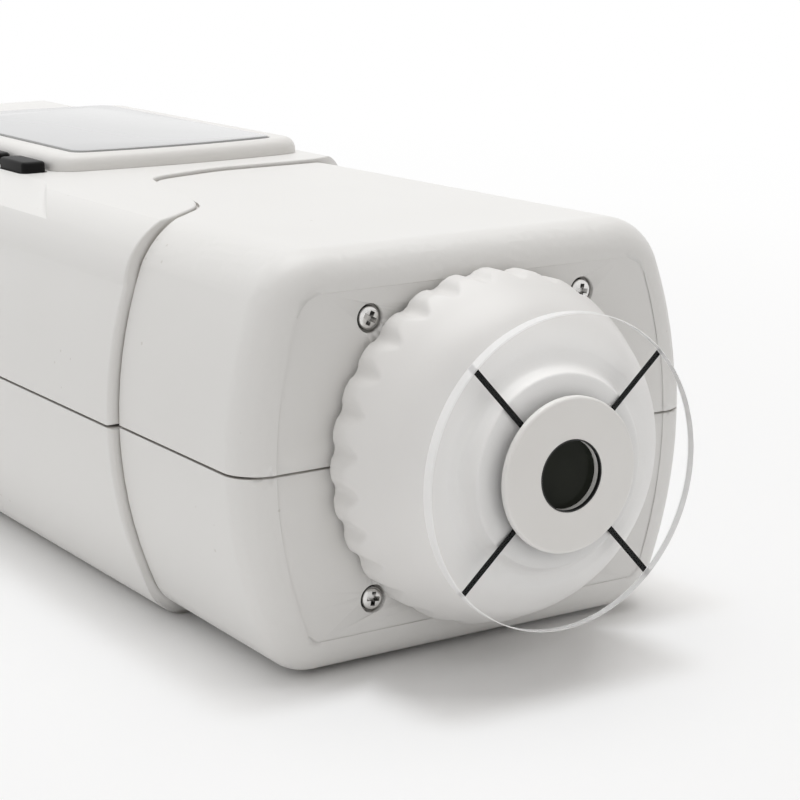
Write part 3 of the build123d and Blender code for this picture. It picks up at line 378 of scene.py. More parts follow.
def build_dust():
    """Specks of dust and faint smudges: a colour, and a roughness that goes with it."""
    group, source, target = shader_group(
        "handling",
        [("Color", "NodeSocketColor", (0.8, 0.8, 0.8, 1)), ("Dust tone", "NodeSocketColor", (0.5, 0.47, 0.42, 1)),
         ("Specks", "NodeSocketFloat", 0.3), ("Roughness", "NodeSocketFloat", 0.45),
         ("Smudges", "NodeSocketFloat", 0.08)],
        [("Color", "NodeSocketColor"), ("Roughness", "NodeSocketFloat")])
    place = group.nodes.new("ShaderNodeTexCoord")
    cells = preset(group.nodes.new("ShaderNodeTexVoronoi"), Scale=SPECK_CELLS)
    group.links.new(place.outputs["Object"], cells.inputs["Vector"])
    near = calculate(group, "LESS_THAN", cells.outputs["Distance"], SPECK_SIZE)
    gate = object_noise(group, 90.0, detail=1.0)
    open_gate = calculate(group, "GREATER_THAN", gate.outputs["Fac"], 0.64)
    speck = calculate(group, "MULTIPLY", near, open_gate)
    share = calculate(group, "MULTIPLY", speck, source.outputs["Specks"], clamp=True)
    tone = mix_colours(group, share, source.outputs["Color"], source.outputs["Dust tone"])
    group.links.new(tone, target.inputs["Color"])
    smudge = object_noise(group, 55.0, detail=4.0, roughness=0.6)
    centred = calculate(group, "SUBTRACT", smudge.outputs["Fac"], 0.5)
    swing = calculate(group, "MULTIPLY", centred, source.outputs["Smudges"])
    result = calculate(group, "ADD", source.outputs["Roughness"], swing, clamp=True)
    group.links.new(result, target.inputs["Roughness"])
    return group


def build_cavity_shade():
    """Painted shade where the surface is hemmed in: an occlusion mask darkens narrow gaps, grooves and inner
    corners.
    """
    group, source, target = shader_group(
        "cavity_painted_shade",
        [("Color", "NodeSocketColor", (0.8, 0.8, 0.8, 1)), ("Grime tone", "NodeSocketColor", (0.3, 0.26, 0.21, 1)),
         ("Reach", "NodeSocketFloat", 0.0007), ("Amount", "NodeSocketFloat", 0.8)],
        [("Color", "NodeSocketColor"), ("Mask", "NodeSocketFloat")])
    around = group.nodes.new("ShaderNodeAmbientOcclusion")
    around.samples = 6
    group.links.new(source.outputs["Reach"], around.inputs["Distance"])
    hidden = soft_step(group, calculate(group, "SUBTRACT", 1.0, around.outputs["AO"]), 0.3, 0.85, 1.0)
    share = calculate(group, "MULTIPLY", hidden, source.outputs["Amount"], clamp=True)
    tone = mix_colours(group, share, source.outputs["Color"], source.outputs["Grime tone"])
    group.links.new(tone, target.inputs["Color"])
    group.links.new(share, target.inputs["Mask"])
    return group


GRAIN, DRIFT, HANDLING, CAVITY_SHADE = build_grain(), build_drift(), build_dust(), build_cavity_shade()
print("groups:", [g.name for g in (GRAIN, DRIFT, HANDLING, CAVITY_SHADE)])

# %% [markdown]
# ## A recipe for plastics and metals
# Every solid finish is a Principled shader. The group colours feed its base colour, the smudges feed
# its roughness and the grain feeds its normal. Values that are the same all over stay on the
# shader's own sockets, so that the exported model keeps them.

# %% Finish recipe


def place_group(tree, group, **values):
    """A group node with its inputs set; a value may be a number, a colour or a socket."""
    node = tree.nodes.new("ShaderNodeGroup")
    node.node_tree = group
    for label, value in values.items():
        socket = node.inputs[label.replace("_", " ")]
        if isinstance(value, bpy.types.NodeSocket):
            tree.links.new(value, socket)
        else:
            socket.default_value = value
    return node


def finish_material(name, tone, other_tone, roughness, grain=(2600.0, 0.15, 0.00002), drift=(30.0, 0.5),
                    specks=0.0, smudges=0.08, metallic=0.0, painted_shade=0.0, painted_shade_tone=(0.16, 0.135, 0.11), **principled):
    """A solid finish: grain is cells per metre, strength and depth; drift is cells per metre and amount."""
    material, tree = empty_material(name)
    material.diffuse_color = (*tone, 1)
    colour = place_group(tree, DRIFT, Tone=(*tone, 1), Other_tone=(*other_tone, 1), Scale=drift[0], Amount=drift[1])
    worn = place_group(tree, HANDLING, Color=colour.outputs["Color"], Specks=specks, Roughness=roughness,
                       Smudges=smudges)
    bumps = place_group(tree, GRAIN, Scale=grain[0], Strength=grain[1], Depth=grain[2])
    shader = preset(tree.nodes.new("ShaderNodeBsdfPrincipled"), Metallic=metallic, **principled)
    colour = worn
    # painted shade: the cavity group darkens the base colour in gaps, grooves and recesses
    if painted_shade > 0.0:
        colour = place_group(tree, CAVITY_SHADE, Color=worn.outputs["Color"], Amount=painted_shade, Grime_tone=(*painted_shade_tone, 1))
    tree.links.new(colour.outputs["Color"], shader.inputs["Base Color"])
    tree.links.new(worn.outputs["Roughness"], shader.inputs["Roughness"])
    tree.links.new(bumps.outputs["Normal"], shader.inputs["Normal"])
    connect_surface(tree, shader)
    return material


# the shells carry painted shade in their seams, in the crease at the foot of the lip and in the screw recesses
shell_white = finish_material("shell_white", (0.83, 0.825, 0.81), (0.80, 0.79, 0.77), 0.42,
                              grain=(1500.0, 0.28, 0.00003), drift=(14.0, 0.6), specks=0.35, painted_shade=0.55,
                              painted_shade_tone=(0.25, 0.215, 0.18))
nose_white = finish_material("nose_white", (0.83, 0.82, 0.805), (0.80, 0.79, 0.775), 0.38,
                             grain=(1800.0, 0.22, 0.00003), drift=(25.0, 0.5), specks=0.35)
hub_white = finish_material("hub_white", (0.87, 0.86, 0.84), (0.84, 0.825, 0.80), 0.32,
                            grain=(3000.0, 0.1, 0.00001), drift=(90.0, 0.5), specks=0.5)
bezel_white = finish_material("bezel_white", (0.82, 0.81, 0.79), (0.79, 0.775, 0.75), 0.4,
                              grain=(1800.0, 0.2, 0.00002), drift=(20.0, 0.5))
key_black = finish_material("key_black", (0.004, 0.004, 0.004), (0.007, 0.007, 0.007), 0.45,
                            grain=(2400.0, 0.25, 0.00003), drift=(150.0, 0.5), specks=0.1, Specular_IOR_Level=0.12)
button_grey = finish_material("button_grey", (0.34, 0.35, 0.36), (0.29, 0.30, 0.31), 0.45,
                              grain=(2000.0, 0.2, 0.00003), drift=(80.0, 0.5))
socket_black = finish_material("socket_black", (0.02, 0.02, 0.021), (0.03, 0.03, 0.031), 0.5,
                               grain=(2000.0, 0.2, 0.00003))
module_black = finish_material("module_black", (0.03, 0.031, 0.033), (0.045, 0.046, 0.048), 0.35)
rim_black = finish_material("rim_black", (0.008, 0.008, 0.008), (0.015, 0.015, 0.015), 0.45)
line_black = finish_material("line_black", (0.003, 0.003, 0.003), (0.006, 0.006, 0.006), 0.7,
                             Specular_IOR_Level=0.1)
chassis_grey = finish_material("chassis_grey", (0.62, 0.62, 0.61), (0.57, 0.57, 0.56), 0.5,
                               grain=(1600.0, 0.3, 0.00003))
sphere_white = finish_material("sphere_white", (0.9, 0.9, 0.89), (0.87, 0.87, 0.86), 0.85,
                               grain=(3500.0, 0.4, 0.00003))
battery_blue = finish_material("battery_blue", (0.03, 0.09, 0.22), (0.025, 0.075, 0.19), 0.35,
                               grain=(500.0, 0.2, 0.0001))
board_green = finish_material("board_green", (0.012, 0.10, 0.035), (0.01, 0.075, 0.028), 0.4,
                              grain=(900.0, 0.3, 0.00003), drift=(300.0, 0.8))
socket_metal = finish_material("socket_metal", (0.62, 0.61, 0.59), (0.54, 0.53, 0.51), 0.3, metallic=1.0,
                               grain=(2200.0, 0.15, 0.00002))
# painted shade, almost black, in the cross of each screw head and round its rim in the recess
screw_steel = finish_material("screw_steel", (0.78, 0.77, 0.75), (0.62, 0.61, 0.60), 0.2, metallic=1.0,
                              grain=(3500.0, 0.15, 0.00002), drift=(900.0, 0.9), smudges=0.2, painted_shade=1.0,
                              painted_shade_tone=(0.008, 0.008, 0.008))
lamp_clear = finish_material("lamp_clear", (0.85, 0.85, 0.75), (0.80, 0.78, 0.62), 0.15,
                             Transmission_Weight=0.4, IOR=1.5)
print("solid finishes:", len(bpy.data.materials))

# %% [markdown]
# ## Glass and clear plastic
# The positioning disc is clear acrylic: light goes through it and only its edge and reflections
# show. A true glass shader throws a dark shadow unless shadow rays may pass, so the material mixes
# in a transparent shader for shadow rays alone. The turned rim of the disc has a finish of its own,
# frosted and only partly clear. The window over the display is a smooth grey sheet, and the
# measuring window is almost black.

# %% Clear disc
CLEAR_IOR = 1.22
CLEAR_SHADOW = (0.99, 0.99, 0.99, 1)
SCRATCH = 0.03            # roughness that the scratches add


def build_clear(name, transmission, roughness):
    """Clear acrylic that lets shadow rays through."""
    material, tree = empty_material(name)
    shader = preset(tree.nodes.new("ShaderNodeBsdfPrincipled"), Base_Color=(1, 1, 1, 1), IOR=CLEAR_IOR,
                    Transmission_Weight=transmission)
    scratches = object_noise(tree, 900.0, detail=5.0, roughness=0.7)
    worn = preset(tree.nodes.new("ShaderNodeMapRange"), From_Min=0.55, From_Max=0.8, To_Min=roughness,
                  To_Max=roughness + SCRATCH)
    tree.links.new(scratches.outputs["Fac"], worn.inputs["Value"])
    tree.links.new(worn.outputs["Result"], shader.inputs["Roughness"])
    clear = preset(tree.nodes.new("ShaderNodeBsdfTransparent"), Color=CLEAR_SHADOW)
    path = tree.nodes.new("ShaderNodeLightPath")
    connect_surface(tree, mix_shaders(tree, path.outputs["Is Shadow Ray"], shader, clear))
    return material


clear_disc = build_clear("clear_disc", 1.0, 0.0)
disc_edge = build_clear("disc_edge", 0.35, 0.3)
window_grey = finish_material("window_grey", (0.47, 0.475, 0.48), (0.45, 0.455, 0.46), 0.08,
                              grain=(400.0, 0.02, 0.00001), drift=(40.0, 0.5), smudges=0.08, Coat_Weight=0.3)
dark_glass = finish_material("dark_glass", (0.018, 0.020, 0.016), (0.024, 0.026, 0.021), 0.12,
                             grain=(400.0, 0.02, 0.00001), drift=(220.0, 0.6), smudges=0.05, Specular_IOR_Level=0.06)
print("clear finishes ready")

# %% [markdown]
# ## Mesh helpers
# Most pieces here are stacks of rings: a turned part is a stack of circles round the measuring axis,
# and a key or a bezel is a stack of rounded outlines. One helper joins the rings with quads, and
# another makes a finished object of them: smooth where the surface bends gently, sharp where two
# faces meet.

# %% Mesh helpers


def cleaned(mesh, distance=1e-7, outwards=True):
    """Merge doubles in a mesh and, where it is closed, turn its faces outwards."""
    work = bmesh.new()
    work.from_mesh(mesh)
    bmesh.ops.remove_doubles(work, verts=work.verts, dist=distance)
    if outwards:
        bmesh.ops.recalc_face_normals(work, faces=work.faces)
    work.to_mesh(mesh)
    work.free()
    return mesh


def closed_mesh(name, points, faces):
    """An object with a closed mesh, from points in millimetres."""
    mesh = bpy.data.meshes.new(name)
    mesh.from_pydata([(x * MM, y * MM, z * MM) for x, y, z in points], [], faces)
    return linked(name, cleaned(mesh))


def evaluated(piece):
    """The mesh of an object with its modifiers; the modifiers are then removed."""
    result = bpy.data.meshes.new_from_object(piece.evaluated_get(bpy.context.evaluated_depsgraph_get()))
    piece.modifiers.clear()
    piece.data = result
    return result


def finished(name, points, faces, material, body, crease, replaces):
    """A closed mesh that is ready to ride on its body."""
    return dress(closed_mesh(name, points, faces), material, body, crease, replaces)


def dress(piece, material, body, crease, replaces):
    """Give a mesh its shading, its material and the body that it rides on; no crease keeps the shading."""
    mesh = piece.data
    if crease is not None:
        mesh.shade_smooth()
        mesh.set_sharp_from_angle(angle=math.radians(crease))
    if material is not None:
        mesh.materials.clear()
        mesh.materials.append(material)
    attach(piece, body)
    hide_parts(*replaces)
    return piece


def stack(rings, closed=False):
    """Points and faces of rings joined by quads; a stack that isn't closed on itself gets end faces."""
    count = len(rings[0])
    points = [point for ring in rings for point in ring]
    faces = []
    turns = len(rings) if closed else len(rings) - 1
    for level in range(turns):
        low, high = level * count, ((level + 1) % len(rings)) * count
        for index in range(count):
            after = (index + 1) % count
            faces.append((low + index, low + after, high + after, high + index))
    if not closed:
        faces.append(tuple(range(count - 1, -1, -1)))
        faces.append(tuple(range((len(rings) - 1) * count, len(rings) * count)))
    return points, faces


def arc(centre, radius, start, end, steps):
    """Points of an arc in a plane, angles in degrees."""
    result = []
    for index in range(steps + 1):
        angle = math.radians(start + (end - start) * index / steps)
        result.append((centre[0] + radius * math.cos(angle), centre[1] + radius * math.sin(angle)))
    return result


def turned(profile, segments):
    """Rings round the measuring axis, from (x, radius) points."""
    rings = []
    for x, radius in profile:
        ring = []
        for index in range(segments):
            angle = 2 * math.pi * index / segments
            ring.append((x, radius * math.cos(angle), AXIS + radius * math.sin(angle)))
        rings.append(ring)
    return rings


def plain_copy(node, name):
    """A merged copy of a CAD node's mesh."""
    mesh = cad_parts[node].data.copy()
    mesh.name = name
    return linked(name, cleaned(mesh, 2e-7, outwards=False))


print("helpers ready")

# %% [markdown]
# ## Geometry Nodes helpers
# A rule such as "28 flutes round the cap" or "four screws at these places" is best kept as a tree
# with named inputs: change one number and the piece follows. A helper sets the modifier's inputs by
# their identifiers, evaluates the object once, and keeps the result as a plain mesh.

# %% Tree helpers


def geometry_tree(name, inputs):
    """A geometry tree with a mesh in, a mesh out and named inputs."""
    tree = bpy.data.node_groups.new(name, "GeometryNodeTree")
    tree.interface.new_socket(name="Geometry", in_out="INPUT", socket_type="NodeSocketGeometry")
    for label, kind, value in inputs:
        socket = tree.interface.new_socket(name=label, in_out="INPUT", socket_type=kind)
        if value is not None:
            socket.default_value = value
    tree.interface.new_socket(name="Geometry", in_out="OUTPUT", socket_type="NodeSocketGeometry")
    return tree, tree.nodes.new("NodeGroupInput"), tree.nodes.new("NodeGroupOutput")


def vector_of(tree, **parts):
    """A vector from the sockets that are given for X, Y and Z."""
    join = tree.nodes.new("ShaderNodeCombineXYZ")
    for label, socket in parts.items():
        tree.links.new(socket, join.inputs[label])
    return join.outputs[0]


def finish_tree(tree, source, target, geometry):
    """End a tree: make instances real and give everything the material of the input named Finish."""
    real = tree.nodes.new("GeometryNodeRealizeInstances")
    tree.links.new(geometry, real.inputs[0])
    paint = tree.nodes.new("GeometryNodeSetMaterial")
    tree.links.new(real.outputs[0], paint.inputs["Geometry"])
    tree.links.new(source.outputs["Finish"], paint.inputs["Material"])
    tree.links.new(paint.outputs[0], target.inputs[0])
    return tree


def set_inputs(modifier, values):
    """Set a modifier's inputs by the identifiers of their sockets."""
    for item in modifier.node_group.interface.items_tree:
        if item.item_type == "SOCKET" and item.in_out == "INPUT" and item.name in values:
            modifier[item.identifier] = values[item.name]


def grown(name, points, faces, tree, values):
    """The plain mesh that a tree makes from a starting mesh, as an object at the origin."""
    mesh = bpy.data.meshes.new(name + "_start")
    mesh.from_pydata(points, [], faces)
    piece = linked(name, mesh)
    modifier = piece.modifiers.new("tree", "NODES")
    modifier.node_group = tree
    set_inputs(modifier, values)
    evaluated(piece).name = name
    return piece


print("tree helpers ready")

# %% [markdown]
# ## Housing shells
# The two shells are one long white moulding, split along the measuring axis. Their CAD solids are
# already the real shape, so a merged copy of each mesh is enough. A real moulding has no knife
# edges, so one bevel rounds them: by its full width on the sides of the lip, by a share of it
# towards both ends of the lip, and by a tenth of it elsewhere. The front face and the foot of the
# lip stay crisp. Weighted normals then keep the flat faces flat in their shading.

# %% Housing shells
LIP_ROUND = 0.7           # rounding on the sides of the lip, in millimetres
TOP_SHARE = 0.4           # share of it towards both ends, where the step is lower
SMALL_SHARE = 0.1         # share of it on other sharp edges; the low step round the panel stays as it is
LIP_STEPS = 4             # segments of the rounding
SHARP = 32.0              # degrees between two faces that make an edge sharp
SHADED_SHARP = 40.0       # and that still show as an edge after the rounding
SAME_PLANE = 0.8          # degrees between triangles that are one flat face
ROUNDED_X = FACE - 1.0    # only what lies behind this plane is joined and rounded
LIP_X = FACE - 31.3       # the lip runs round the body in this plane
LIP_REAR = FACE - 80.0    # and along the top as far back as this
TOP_Y = -20.6             # there it ends towards the keys
SIDE_Y = 29.0             # its sides lie farther out than this
HOOK_X = FACE - 42.0      # its hook crosses the shoulder in front of this
HOOK_LOW = AXIS + 15.0    # and above this height
HOOK_Y = -20.0            # and on the keys' side of this
DISPLAY_ROOM = (33.5, 22.0)         # edges as near as this to the middle of the display belong to its seat
TOP_FADE = (AXIS + 12.0, 10.0)      # above this height the rounding lessens, over this distance
LIP_LOW = 7.0             # below this height the lip stays crisp, because the body curves away under it
LOW_FADE = (LIP_LOW + 8.0, 8.0)     # below this height the rounding lessens, over this distance
NEAR_LIP = 1.5            # edges as close as this to the lip's plane stay crisp below that height
CREASE_Y = 24.3           # the plateau ends in a crease at this half-width
CLOSE = 0.06              # how near a point must be to count as lying on one of these lines


def lip_edge(x, y, z):
    """Whether a point, in millimetres, lies on the outer rim of the lip."""
    on_top = z > PLATEAU - 0.05 and LIP_REAR < x < LIP_X and y > TOP_Y
    clear_of_display = x > DISPLAY_X + DISPLAY_ROOM[0] or abs(y - DISPLAY_Y) > DISPLAY_ROOM[1]
    on_side = abs(x - LIP_X) < CLOSE and abs(y) > SIDE_Y and z > LIP_LOW
    on_shoulder = y < HOOK_Y and HOOK_X < x < LIP_X and z > HOOK_LOW
    return (on_top and clear_of_display) or on_side or on_shoulder


def mark_edges(mesh):
    """Join flat triangles, then give every sharp edge its share of the rounding."""
    work = bmesh.new()
    work.from_mesh(mesh)
    behind = [edge for edge in work.edges if max(end.co.x for end in edge.verts) < ROUNDED_X * MM]
    bmesh.ops.dissolve_limit(work, angle_limit=math.radians(SAME_PLANE), verts=[], edges=behind)
    layer = work.edges.layers.float.new("bevel_weight_edge")
    marked = 0
    for edge in work.edges:
        if len(edge.link_faces) != 2 or edge.calc_face_angle_signed(0.0) < math.radians(SHARP):
            continue
        x, y, z = ((a + b) / 2 / MM for a, b in zip(edge.verts[0].co, edge.verts[1].co))
        if x < ROUNDED_X and (abs(x - LIP_X) > NEAR_LIP or z > LIP_LOW):
            edge[layer] = SMALL_SHARE
        if lip_edge(x, y, z):
            towards_end = max((z - TOP_FADE[0]) / TOP_FADE[1], (LOW_FADE[0] - z) / LOW_FADE[1])
            edge[layer] = 1.0 + (TOP_SHARE - 1.0) * min(max(towards_end, 0.0), 1.0)
            marked += 1
    work.to_mesh(mesh)
    work.free()
    return marked


def crease_plateau(mesh):
    """Keep the long edges of the plateau visible, although the surfaces there meet at a shallow angle."""
    for edge in mesh.edges:
        ends = [mesh.vertices[index].co / MM for index in edge.vertices]
        if all(abs(abs(end.y) - CREASE_Y) < CLOSE and end.z > PLATEAU - 0.1 for end in ends):
            edge.use_edge_sharp = True


def build_shell(node):
    """A copy of one shell with its sharp edges rounded, and flat faces kept flat in their shading."""
    copy = plain_copy(node, node + "_skin")
    marked = mark_edges(copy.data)
    bevel = copy.modifiers.new("round edges", "BEVEL")
    bevel.width = LIP_ROUND * MM
    bevel.segments = LIP_STEPS
    bevel.limit_method = "WEIGHT"
    bevel.use_clamp_overlap = False
    rounded = evaluated(copy)
    rounded.shade_smooth()
    rounded.set_sharp_from_angle(angle=math.radians(SHADED_SHARP))
    crease_plateau(rounded)
    even = copy.modifiers.new("flat faces", "WEIGHTED_NORMAL")
    even.keep_sharp = True
    even.weight = 100
    result = evaluated(copy)
    dress(copy, shell_white, "housing", crease=None, replaces=(node,))
    print(node, "faces:", len(result.polygons), "lip edges:", marked)


for shell in ("upper_shell", "lower_shell"):
    build_shell(shell)

# %% [markdown]
# ## Display bezel and window
# The bezel is a low frame with generously rounded shoulders, and its short sides bow outwards a
# little. Its outline is made of four arcs: two shallow bows and, at each corner, a small fillet that
# is tangent to the bow and to the straight long side. The same outline, offset inwards, gives every
# ring of the frame, so all rings have matching points.

# %% Bowed outline
BEZEL = (64.5, 40.0, 1.5, 4.0)            # each outline: length, width, bow and corner radius
POCKET = (60.3, 32.4, 1.5, 2.3)
PANE = (59.7, 31.8, 1.5, 2.0)
OPENING = (52.0, 29.0, 0.05, 0.3)
CORNER_STEPS = 10
BOW_STEPS = 14
SIDE_STEPS = 24


def bowed_outline(length, width, bow, corner, inset=0.0):
    """A rounded rectangle with bowed short sides, round the middle of the display."""
    half, edge = length / 2, width / 2
    big = (edge * edge + bow * bow) / (2 * bow)
    centre_x = half - big
    reach_y = edge - corner
    reach_x = centre_x + math.sqrt((big - corner) ** 2 - reach_y ** 2)
    slope = math.degrees(math.atan2(reach_y, reach_x - centre_x))
    small = max(corner - inset, 0.02)
    front = arc((centre_x, 0), big - inset, -slope, slope, BOW_STEPS)
    corner_part = arc((reach_x, reach_y), small, slope, 90, CORNER_STEPS)
    quarter = front + corner_part[1:]
    last = quarter[-1]
    long_side = [(last[0] - 2 * last[0] * index / SIDE_STEPS, last[1]) for index in range(1, SIDE_STEPS)]
    rear_top = [(-x, y) for x, y in reversed(corner_part)]
    rear = [(-x, y) for x, y in reversed(front)]
    lower = [(-x, -y) for x, y in corner_part[1:]]
    low_side = [(-x, -y) for x, y in long_side]
    front_low = [(x, -y) for x, y in reversed(corner_part)]
    outline = quarter + long_side + rear_top + rear[1:] + lower + low_side + front_low[:-1]
    return [(DISPLAY_X + x, DISPLAY_Y + y) for x, y in outline]


def level(outline, z):
    """An outline at one height."""
    return [(x, y, z) for x, y in outline]


print("points in each ring of the bezel:", len(bowed_outline(*BEZEL)))

# %% Bezel and window
BEZEL_FOOT = PLATEAU + 0.01
BEZEL_ROUND = 1.8
POCKET_ROUND = 0.18
PANE_ROUND = 0.12


def build_bezel():
    """The frame round the display, one closed ring of rings."""
    shoulder = BEZEL_TOP - BEZEL_ROUND
    rings = [level(bowed_outline(*BEZEL), BEZEL_FOOT), level(bowed_outline(*BEZEL), shoulder)]
    for x, z in arc((BEZEL_ROUND, shoulder), BEZEL_ROUND, 180, 90, 10)[1:]:
        rings.append(level(bowed_outline(*BEZEL, inset=x), z))
    for x, z in arc((POCKET_ROUND, BEZEL_TOP - POCKET_ROUND), POCKET_ROUND, 90, 0, 4):
        rings.append(level(bowed_outline(*POCKET, inset=x - 2 * POCKET_ROUND), z))
    for outline, z in ((POCKET, WINDOW_LOW), (OPENING, WINDOW_LOW), (OPENING, BEZEL_FOOT)):
        rings.append(level(bowed_outline(*outline), z))
    points, faces = stack(rings, closed=True)
    return finished("bezel_frame", points, faces, bezel_white, "housing", 50.0, ("display_bezel",))


def build_window():
    """The flat window in the bezel, its top edge slightly rounded."""
    shoulder = WINDOW_TOP - PANE_ROUND
    rings = [level(bowed_outline(*PANE), WINDOW_LOW + 0.01), level(bowed_outline(*PANE), shoulder)]
    for x, z in arc((PANE_ROUND, shoulder), PANE_ROUND, 180, 90, 4)[1:]:
        rings.append(level(bowed_outline(*PANE, inset=x), z))
    points, faces = stack(rings)
    return finished("window_pane", points, faces, window_grey, "housing", 40.0, ("display_window",))


bezel = build_bezel()
window = build_window()
print("bezel faces:", len(bezel.data.polygons), "window faces:", len(window.data.polygons))

# %% [markdown]
# ## Keys
# Each key is a small black cap with a slightly crowned top. It stands in a slot and is kept there by
# a wider flange below the surface. One stack of rounded outlines makes it, and every key rides on
# its own body, because each one can be pressed.

# %% Keys
KEY_PITCH = 12.5
KEY_LENGTH = 9.0
KEY_WIDTH = 3.6
KEY_CORNER = 0.9
KEY_ROUND = 0.5           # roundness of the cap's upper edge
KEY_FLANGE = 0.7
KEY_FIRST = FACE - 82.6 - KEY_LENGTH / 2
KEY_Y = -19.0
KEY_TOP = PLATEAU + 1.6
KEY_SEAT = PLATEAU - 2.9
FLANGE_THICK = 0.8
CROWN = 0.05              # rise of the cap's top inside its rounded edge
CORNER_POINTS = 6


def rounded_outline(centre, length, width, corner, z):
    """A rounded rectangle at one height; each side has its own points."""
    result = []
    for sign_x, sign_y, start in ((1, 1, 0), (-1, 1, 90), (-1, -1, 180), (1, -1, 270)):
        middle_x = centre[0] + sign_x * (length / 2 - corner)
        middle_y = centre[1] + sign_y * (width / 2 - corner)
        result += [(x, y, z) for x, y in arc((middle_x, middle_y), corner, start, start + 90, CORNER_POINTS)]
    return result


def build_key(index, name):
    """One key cap with its flange."""
    centre = (KEY_FIRST - index * KEY_PITCH, KEY_Y)
    wide = (KEY_LENGTH + 2 * KEY_FLANGE, KEY_WIDTH + 2 * KEY_FLANGE, KEY_CORNER + KEY_FLANGE)
    cap = (KEY_LENGTH, KEY_WIDTH, KEY_CORNER)
    rings = [rounded_outline(centre, *wide, KEY_SEAT - FLANGE_THICK), rounded_outline(centre, *wide, KEY_SEAT),
             rounded_outline(centre, *cap, KEY_SEAT)]
    for inset, z in arc((KEY_ROUND, KEY_TOP - KEY_ROUND - CROWN), KEY_ROUND, 180, 90, 6):
        corner = max(KEY_CORNER - inset, 0.3)
        rings.append(rounded_outline(centre, KEY_LENGTH - 2 * inset, KEY_WIDTH - 2 * inset, corner, z))
    rings.append(rounded_outline(centre, KEY_LENGTH - 3.0, KEY_WIDTH - 2.4, 0.25, KEY_TOP))
    points, faces = stack(rings)
    return finished(name + "_cap", points, faces, key_black, name, 45.0, (name,))


key_names = ["key_right", "key_enter", "key_left", "key_menu"]
keys = [build_key(index, name) for index, name in enumerate(key_names)]
print("keys:", [o.name for o in keys])

# %% [markdown]
# ## Nose cap
# The cap is a turned part whose grip has 28 shallow flutes. Turning gives the smooth dome, and a
# Geometry Nodes rule cuts the flutes: no point may lie farther from the axis than a wave that goes
# round it. Where the dome is already smaller than the wave, it stays smooth, so the flutes run out
# on the dome by themselves, as they do on the moulding.

# %% Nose cap profile


def spline(points, tangents, steps):
    """A smooth curve through points, as short straight runs (Hermite pieces)."""
    slopes = [tangents[0]]
    for before, after in zip(points[:-2], points[2:]):
        slopes.append(((after[0] - before[0]) / 2, (after[1] - before[1]) / 2))
    slopes.append(tangents[1])
    result = []
    for index in range(len(points) - 1):
        a, b = points[index], points[index + 1]
        da, db = slopes[index], slopes[index + 1]
        for step in range(steps):
            t = step / steps
            h = (2 * t ** 3 - 3 * t ** 2 + 1, t ** 3 - 2 * t ** 2 + t, -2 * t ** 3 + 3 * t ** 2, t ** 3 - t ** 2)
            result.append(tuple(h[0] * a[k] + h[1] * da[k] + h[2] * b[k] + h[3] * db[k] for k in (0, 1)))
    result.append(points[-1])
    return result


def nose_profile():
    """Outline of the cap as (x, radius), from the rear edge over the dome to the neck and back inside."""
    outer = [(0.55, 17.08), (0.55, 20.3), (0.68, 20.7), (0.95, 21.0), (1.4, 21.05), (2.0, 21.05)]
    dome = spline([(2.6, 21.05), (7.6, 19.2), (11.2, 16.95), (13.5, 13.6)], ((5.0, 0.0), (0.6, -3.2)), 22)
    hollow = arc((14.55, 12.75), 1.15, 180, 252, 8)
    neck = [(14.6, 11.45), (15.0, 11.34)] + arc((15.1, 11.0), 0.3, 80, 10, 5) + [(15.4, 10.8)]
    inside = [(15.4, 5.68), (10.7, 5.68), (10.7, 10.2), (6.8, 15.4), (6.8, 17.08), (6.1, 17.08), (6.1, 18.2),
              (4.1, 18.2), (4.1, 17.08)]
    return [(FACE + x, radius) for x, radius in outer + dome + hollow[1:] + neck + inside]


profile = nose_profile()
print("profile points:", len(profile), "largest radius:", round(max(r for _, r in profile), 2))

# %% Flute rule
GRIP_RADIUS = 20.95
FLUTES = 28
FLUTE_POINTS = 14         # points across one flute
FLUTE_DEPTH = 0.75
NARROWNESS = 1.6          # above 1 the hollows are narrower than the crests
BLEND = 0.00004           # metres over which the dome runs into the flutes


